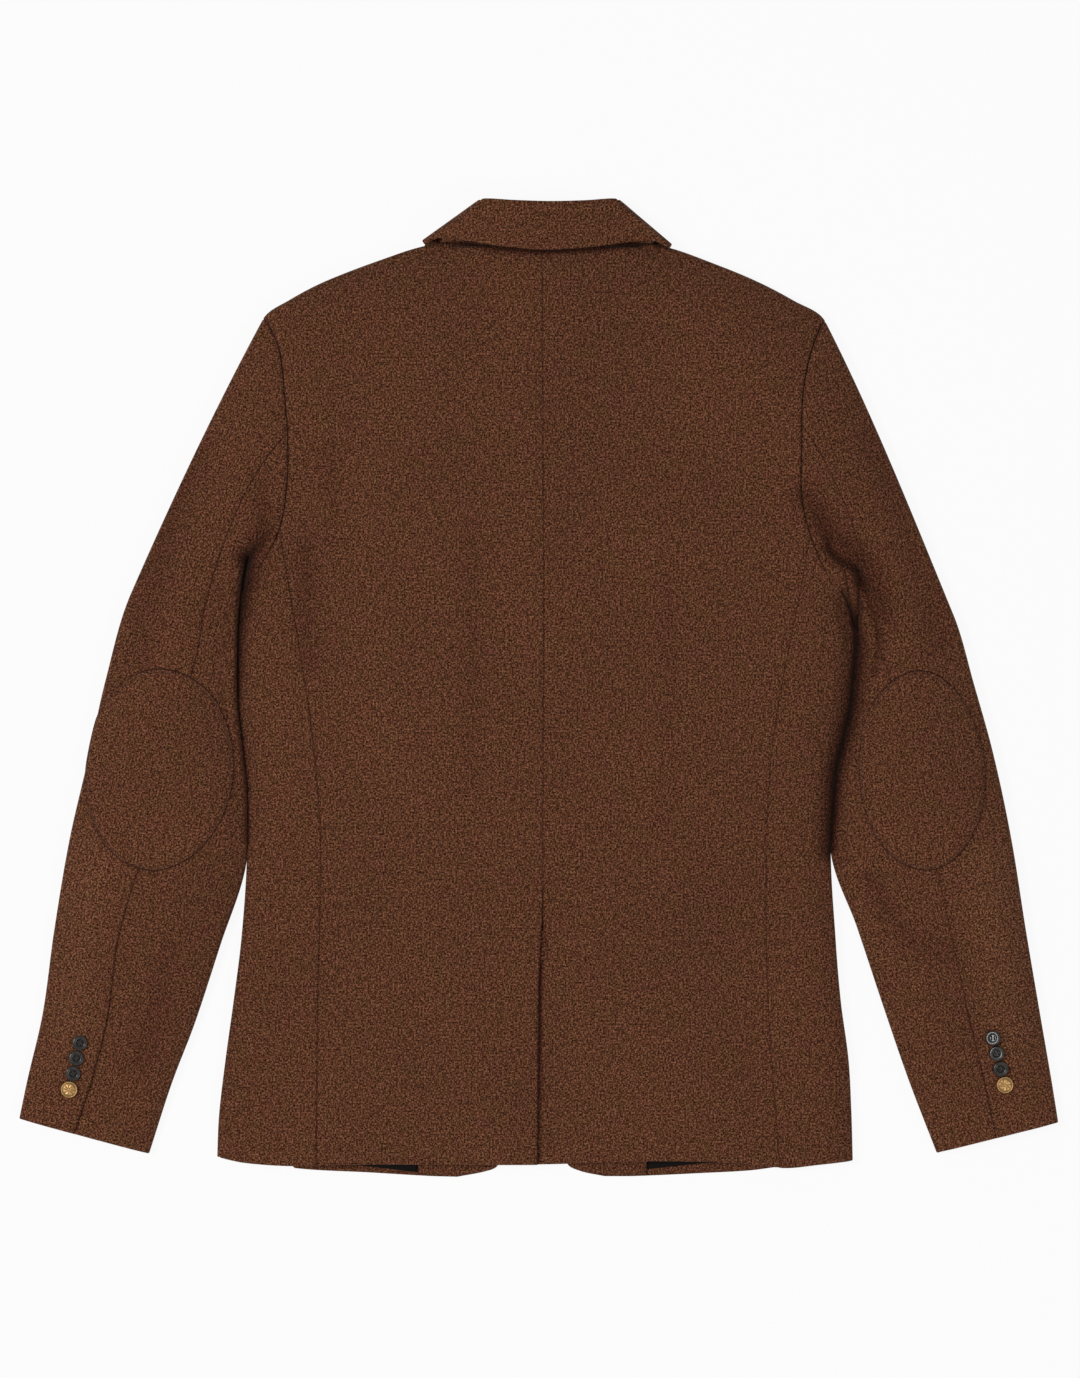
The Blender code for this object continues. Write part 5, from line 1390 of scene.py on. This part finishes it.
def tweed(name):
    """Brushed tweed: heathered flecks, slow changes of hue and tone, painted shade in the seams, creases
    and valleys and as shadows under laps and the collar's edge, painted light on ridges, and a short
    nap.
    """
    looks = bpy.context.scene.blazer_looks
    m = Maker(bpy.data.materials.new(name))
    cut = m.node("Attribute", {"attribute_name": "cut"}, out=1)
    fleck = m.noise(m.scaled(cut, (1.30, 1.42)), 1.0, 0.6, 0.3)
    fine = m.noise(m.scaled(cut, (0.62, 0.68), 0.4), 2.0, 0.65)
    slub = m.noise(m.scaled(cut, (2.4, 7.0)), 1.0, 0.5)
    hue = m.noise(m.scaled(cut, (13.0, 16.0), 0.5), 2.0, 0.55)
    slow = m.noise(m.scaled(cut, (90.0, 130.0)), 1.0, 0.5)
    yarn = fleck * 0.56 + fine * 0.34 + slub * 0.10
    colour = m.mix(m.between(yarn, 0.385, 0.505), tuple(looks.dark_yarn), tuple(looks.mid_yarn))
    colour = m.mix(m.between(yarn, 0.505, 0.625), colour, tuple(looks.light_yarn))
    for end, most, cast in ((0.68, 0.3, (0.84, 1.06, 0.80)), (0.32, 0.34, (1.06, 0.92, 1.12))):
        dyed = m.mix(1.0, colour, cast, "MULTIPLY")
        colour = m.mix(m.between(hue, 0.50, end) * most, colour, dyed)
    # The third number of cut is painted shade, for the shadow in seams, creases, valleys and under laps,
    # and below nought painted light on ridges.
    painted_shade_and_light = m.node("SeparateXYZ", {}, {0: cut}, out=2)
    # slow is a random change of tone; the painted shade darkens the colour, green and blue more than red
    # where it is deep.
    shade = (0.90 + slow * 0.2) * (1.0 - painted_shade_and_light * 0.93)
    deep = shade * (1.0 - painted_shade_and_light * 0.3)
    colour = m.mix(1.0, colour, m.node("CombineColor", {}, {0: shade, 1: deep, 2: deep}), "MULTIPLY")
    bump = m.node("Bump", {}, {"Strength": 0.6, "Distance": 0.0007, "Height": yarn})
    return m.finish({"Base Color": colour, "Roughness": 0.95, "Normal": bump, "Specular IOR Level": 0.12,
                     "Sheen Weight": 0.12, "Sheen Roughness": 0.5, "Sheen Tint": (0.75, 0.55, 0.42)})


def satin(name):
    """Black satin lining."""
    looks = bpy.context.scene.blazer_looks
    m = Maker(bpy.data.materials.new(name))
    cut = m.node("Attribute", {"attribute_name": "cut"}, out=1)
    weave = m.noise(m.scaled(cut, (0.4, 2.2)), 2.0, 0.6)
    colour = m.mix(weave, tuple(looks.lining), tuple(0.55 * c for c in looks.lining))
    bump = m.node("Bump", {}, {"Strength": 0.3, "Distance": 0.0002, "Height": weave})
    return m.finish({"Base Color": colour, "Roughness": 0.6 + weave * 0.15, "Normal": bump,
                     "Specular IOR Level": 0.1})


def horn(name):
    """Dark horn-like resin, charcoal with greyer streaks and a polished rim."""
    looks = bpy.context.scene.blazer_looks
    m = Maker(bpy.data.materials.new(name))
    place = m.node("TexCoord", out=3)
    streak = m.node("TexNoise", {}, {"Vector": place, "Scale": 260.0, "Detail": 3.0,
                                     "Roughness": 0.6, "Distortion": 1.2})
    pale = tuple(3.2 * c for c in looks.horn)
    colour = m.mix(m.between(streak, 0.40, 0.72), tuple(looks.horn), pale)
    bump = m.node("Bump", {}, {"Strength": 0.15, "Distance": 0.0002, "Height": streak})
    return m.finish({"Base Color": colour, "Roughness": 0.16 + streak * 0.1, "Normal": bump,
                     "Specular IOR Level": 0.4})


def brass(name):
    """Worn brass, brighter on the raised parts and darker in the hollows."""
    looks = bpy.context.scene.blazer_looks
    m = Maker(bpy.data.materials.new(name))
    relief = m.node("Attribute", {"attribute_name": "relief"}, out=2)
    place = m.node("TexCoord", out=3)
    wear = m.node("TexNoise", {}, {"Vector": place, "Scale": 900.0, "Detail": 3.0,
                                   "Roughness": 0.6})
    raised = m.between(relief + wear * 0.5, 0.05, 0.95)
    colour = m.mix(raised, tuple(0.45 * c for c in looks.brass), tuple(looks.brass))
    bump = m.node("Bump", {}, {"Strength": 0.2, "Distance": 0.0001, "Height": wear})
    return m.finish({"Base Color": colour, "Metallic": 1.0, "Roughness": 0.52 - raised * 0.16,
                     "Normal": bump})


def sewn(name):
    """Twisted sewing thread."""
    shade = getattr(bpy.context.scene.blazer_looks, name.removeprefix("blazer_"))
    m = Maker(bpy.data.materials.new(name))
    place = m.node("TexCoord", out=3)
    twist = m.node("TexNoise", {}, {"Vector": place, "Scale": 2200.0, "Detail": 1.0})
    colour = m.mix(twist, tuple(shade), tuple(0.5 * c for c in shade))
    return m.finish({"Base Color": colour, "Roughness": 0.7, "Sheen Weight": 0.15})


def plain(name, colour, roughness, glow):
    """A pale surface that shows its own colour to the camera and still takes a soft shadow."""
    m = Maker(bpy.data.materials.new(name))
    diffuse = m.node("BsdfDiffuse", {}, {"Color": colour, "Roughness": roughness})
    light = m.node("Emission", {}, {"Color": (1.0, 1.0, 1.0), "Strength": 1.0})
    both = m.node("MixShader", {}, {0: m.seen() * glow, 1: diffuse, 2: light})
    m.node("OutputMaterial", {}, {0: both})
    return m.made


# ---------------------------------------------------------------- settings and operators

def size(name, description, default):
    """A length that a user may change."""
    return FloatProperty(name=name, description=description, default=default,
                         min=0.0001, max=10.0, unit="LENGTH")


def tint(name, description, default):
    """A colour that a user may change."""
    return FloatVectorProperty(name=name, description=description, default=default,
                               size=3, min=0.0, max=1.0, subtype="COLOR")


class BlazerSizes(bpy.types.PropertyGroup):
    """Sizes of the pieces that a user may change."""
    cell: size("Mesh pitch", "Distance between the lines of the body's mesh", 0.0030)
    sleeve_cell: size("Sleeve mesh pitch", "Distance between the lines of the sleeves' mesh", 0.0021)
    dark_diameter: size("Cuff button", "Diameter of a dark cuff button", 0.0120)
    brass_diameter: size("Brass button", "Diameter of a brass cuff button", 0.0132)
    front_diameter: size("Front button", "Diameter of a front button", 0.0200)
    camera_height: size("Camera height", "Height of the camera above the garment", 6.0)


class BlazerLooks(bpy.types.PropertyGroup):
    """Colours of the finishes."""
    dark_yarn: tint("Dark yarn", "Darkest flecks of the tweed", (0.025, 0.0062, 0.0022))
    mid_yarn: tint("Main yarn", "Main colour of the tweed", (0.112, 0.0388, 0.0170))
    light_yarn: tint("Light yarn", "Lightest flecks of the tweed", (0.306, 0.1255, 0.0665))
    lining: tint("Lining", "Satin lining", (0.0045, 0.0028, 0.0024))
    horn: tint("Horn", "Dark buttons", (0.012, 0.0095, 0.008))
    brass: tint("Brass", "Brass buttons", (0.40, 0.235, 0.095))
    thread: tint("Thread", "Sewing thread of the patches", (0.055, 0.021, 0.011))
    button_thread: tint("Button thread", "Thread of the buttons", (0.010, 0.007, 0.006))
    floor: tint("Floor", "Studio floor and backdrop", (0.90, 0.90, 0.90))


class BLAZER_OT_body(bpy.types.Operator):
    """Build the back halves and the side bodies"""
    bl_idname = "blazer.body"
    bl_label = "Body"

    def execute(self, context):
        for side in SIGN:
            back(side, context.scene.blazer_sizes.cell / MM)
            side_body(side, context.scene.blazer_sizes.cell / MM)
        return {"FINISHED"}


class BLAZER_OT_fronts(bpy.types.Operator):
    """Build the fronts, lapels, facings and linings"""
    bl_idname = "blazer.fronts"
    bl_label = "Fronts"

    def execute(self, context):
        for side in SIGN:
            for piece in (front, lapel, facing, lining):
                piece(side)
        return {"FINISHED"}


class BLAZER_OT_collar(bpy.types.Operator):
    """Build the collar, stand and fall in one"""
    bl_idname = "blazer.collar"
    bl_label = "Collar"

    def execute(self, context):
        collar()
        return {"FINISHED"}


class BLAZER_OT_sleeves(bpy.types.Operator):
    """Build the two-piece sleeves"""
    bl_idname = "blazer.sleeves"
    bl_label = "Sleeves"

    def execute(self, context):
        for side in SIGN:
            sleeve(side, context.scene.blazer_sizes.sleeve_cell / MM)
        return {"FINISHED"}


class BLAZER_OT_patches(bpy.types.Operator):
    """Lay the elbow patches on the sleeves and stitch them down"""
    bl_idname = "blazer.patches"
    bl_label = "Elbow patches"

    def execute(self, context):
        for side in SIGN:
            elbow_patch(side)
        return {"FINISHED"}


class BLAZER_OT_cuff_buttons(bpy.types.Operator):
    """Set four kissing buttons on each cuff"""
    bl_idname = "blazer.cuff_buttons"
    bl_label = "Cuff buttons"

    def execute(self, context):
        sizes = context.scene.blazer_sizes
        for side in SIGN:
            for k, place in enumerate(CUFF_BUTTONS[side]):
                point, normal = sleeve_top(place)
                lean = np.array([*BUTTON_LEAN[side][k], 0])
                point = point + normal * (CLOTH / 2 + SHANK + 3.2 * np.linalg.norm(lean))
                normal = unit(normal + lean)
                node = f"cuff_button_{side}_{k + 1}"
                if k == 3:
                    brass_button(node, sizes.brass_diameter / MM, BRASS_HEIGHT, point, normal,
                                 0.2 * SIGN[side])
                else:
                    horn_button(node, sizes.dark_diameter / MM, HORN_HEIGHT, point, normal,
                                0.35 * k + 0.2)
        return {"FINISHED"}


class BLAZER_OT_front_buttons(bpy.types.Operator):
    """Set the two front buttons under the left front"""
    bl_idname = "blazer.front_buttons"
    bl_label = "Front buttons"

    def execute(self, context):
        for k, (x, y) in enumerate(FRONT_BUTTONS):
            horn_button(f"front_button_{k + 1}", context.scene.blazer_sizes.front_diameter / MM,
                        FRONT_BUTTON_HEIGHT - 0.1, np.array([x, y, FRONT_BUTTON_HEIGHT], float),
                        np.array([0, 0, -1.0]), 0.1)
        return {"FINISHED"}


class BLAZER_OT_stage(bpy.types.Operator):
    """Lay the floor, light it softly and hang the camera straight above"""
    bl_idname = "blazer.stage"
    bl_label = "Stage"

    def execute(self, context):
        scene = context.scene
        data = bpy.data.meshes.new("floor")
        corners = [(x * FLOOR_HALF, y * FLOOR_HALF, FLOOR_LEVEL)
                   for x, y in ((-1, -1), (1, -1), (1, 1), (-1, 1))]
        data.from_pydata(corners, [], [(0, 1, 2, 3)])
        white = plain("floor", tuple(scene.blazer_looks.floor), 0.5, FLOOR_GLOW)
        link("floor", data, white)
        world = Maker(bpy.data.worlds.new("studio"))
        soft = world.node("Background", {}, {"Strength": WORLD_LIGHT})
        white = world.node("Background")
        world.node("OutputWorld", {},
                   {0: world.node("MixShader", {}, {0: world.seen(), 1: soft, 2: white})})
        scene.world = world.made
        for name, place, sides, power in LAMPS:
            lamp = bpy.data.lights.new(name, "AREA")
            lamp.shape = "RECTANGLE"
            lamp.size, lamp.size_y = sides
            lamp.energy = power
            thing = bpy.data.objects.new(name, lamp)
            thing.location = place
            thing.rotation_euler = (-Vector(place)).to_track_quat("-Z", "Y").to_euler()
            scene.collection.objects.link(thing)
        camera = bpy.data.cameras.new("camera")
        camera.sensor_fit = "VERTICAL"
        camera.sensor_height = 24.0
        height = scene.blazer_sizes.camera_height
        camera.lens = camera.sensor_height * (height - FRAME_LEVEL) / FRAME_HEIGHT
        camera.clip_end = 10 * height
        thing = bpy.data.objects.new("camera", camera)
        thing.location = (*FRAME_CENTRE, height)
        scene.collection.objects.link(thing)
        scene.camera = thing
        scene.view_settings.view_transform = "Standard"
        return {"FINISHED"}


OPERATORS = (BLAZER_OT_body, BLAZER_OT_fronts, BLAZER_OT_collar, BLAZER_OT_sleeves, BLAZER_OT_patches,
             BLAZER_OT_cuff_buttons, BLAZER_OT_front_buttons, BLAZER_OT_stage)


class BLAZER_PT_sidebar(bpy.types.Panel):
    """The settings and a button for each group of pieces"""
    bl_label = "Blazer"
    bl_idname = "BLAZER_PT_sidebar"
    bl_space_type = "VIEW_3D"
    bl_region_type = "UI"
    bl_category = "Blazer"

    def draw(self, context):
        for group in (context.scene.blazer_sizes, context.scene.blazer_looks):
            for key in group.__annotations__:
                self.layout.prop(group, key)
        for operator in OPERATORS:
            self.layout.operator(operator.bl_idname)


CLASSES = (BlazerSizes, BlazerLooks, *OPERATORS, BLAZER_PT_sidebar)


def register():
    """Add the classes and the settings."""
    for item in CLASSES:
        bpy.utils.register_class(item)
    bpy.types.Scene.blazer_sizes = PointerProperty(type=BlazerSizes)
    bpy.types.Scene.blazer_looks = PointerProperty(type=BlazerLooks)


def unregister():
    """Take the settings and the classes away again."""
    del bpy.types.Scene.blazer_looks
    del bpy.types.Scene.blazer_sizes
    for item in reversed(CLASSES):
        bpy.utils.unregister_class(item)


def main():
    """Build everything."""
    register()
    for operator in OPERATORS:
        getattr(bpy.ops.blazer, operator.bl_idname.removeprefix("blazer."))()


if __name__ == "__main__":
    main()
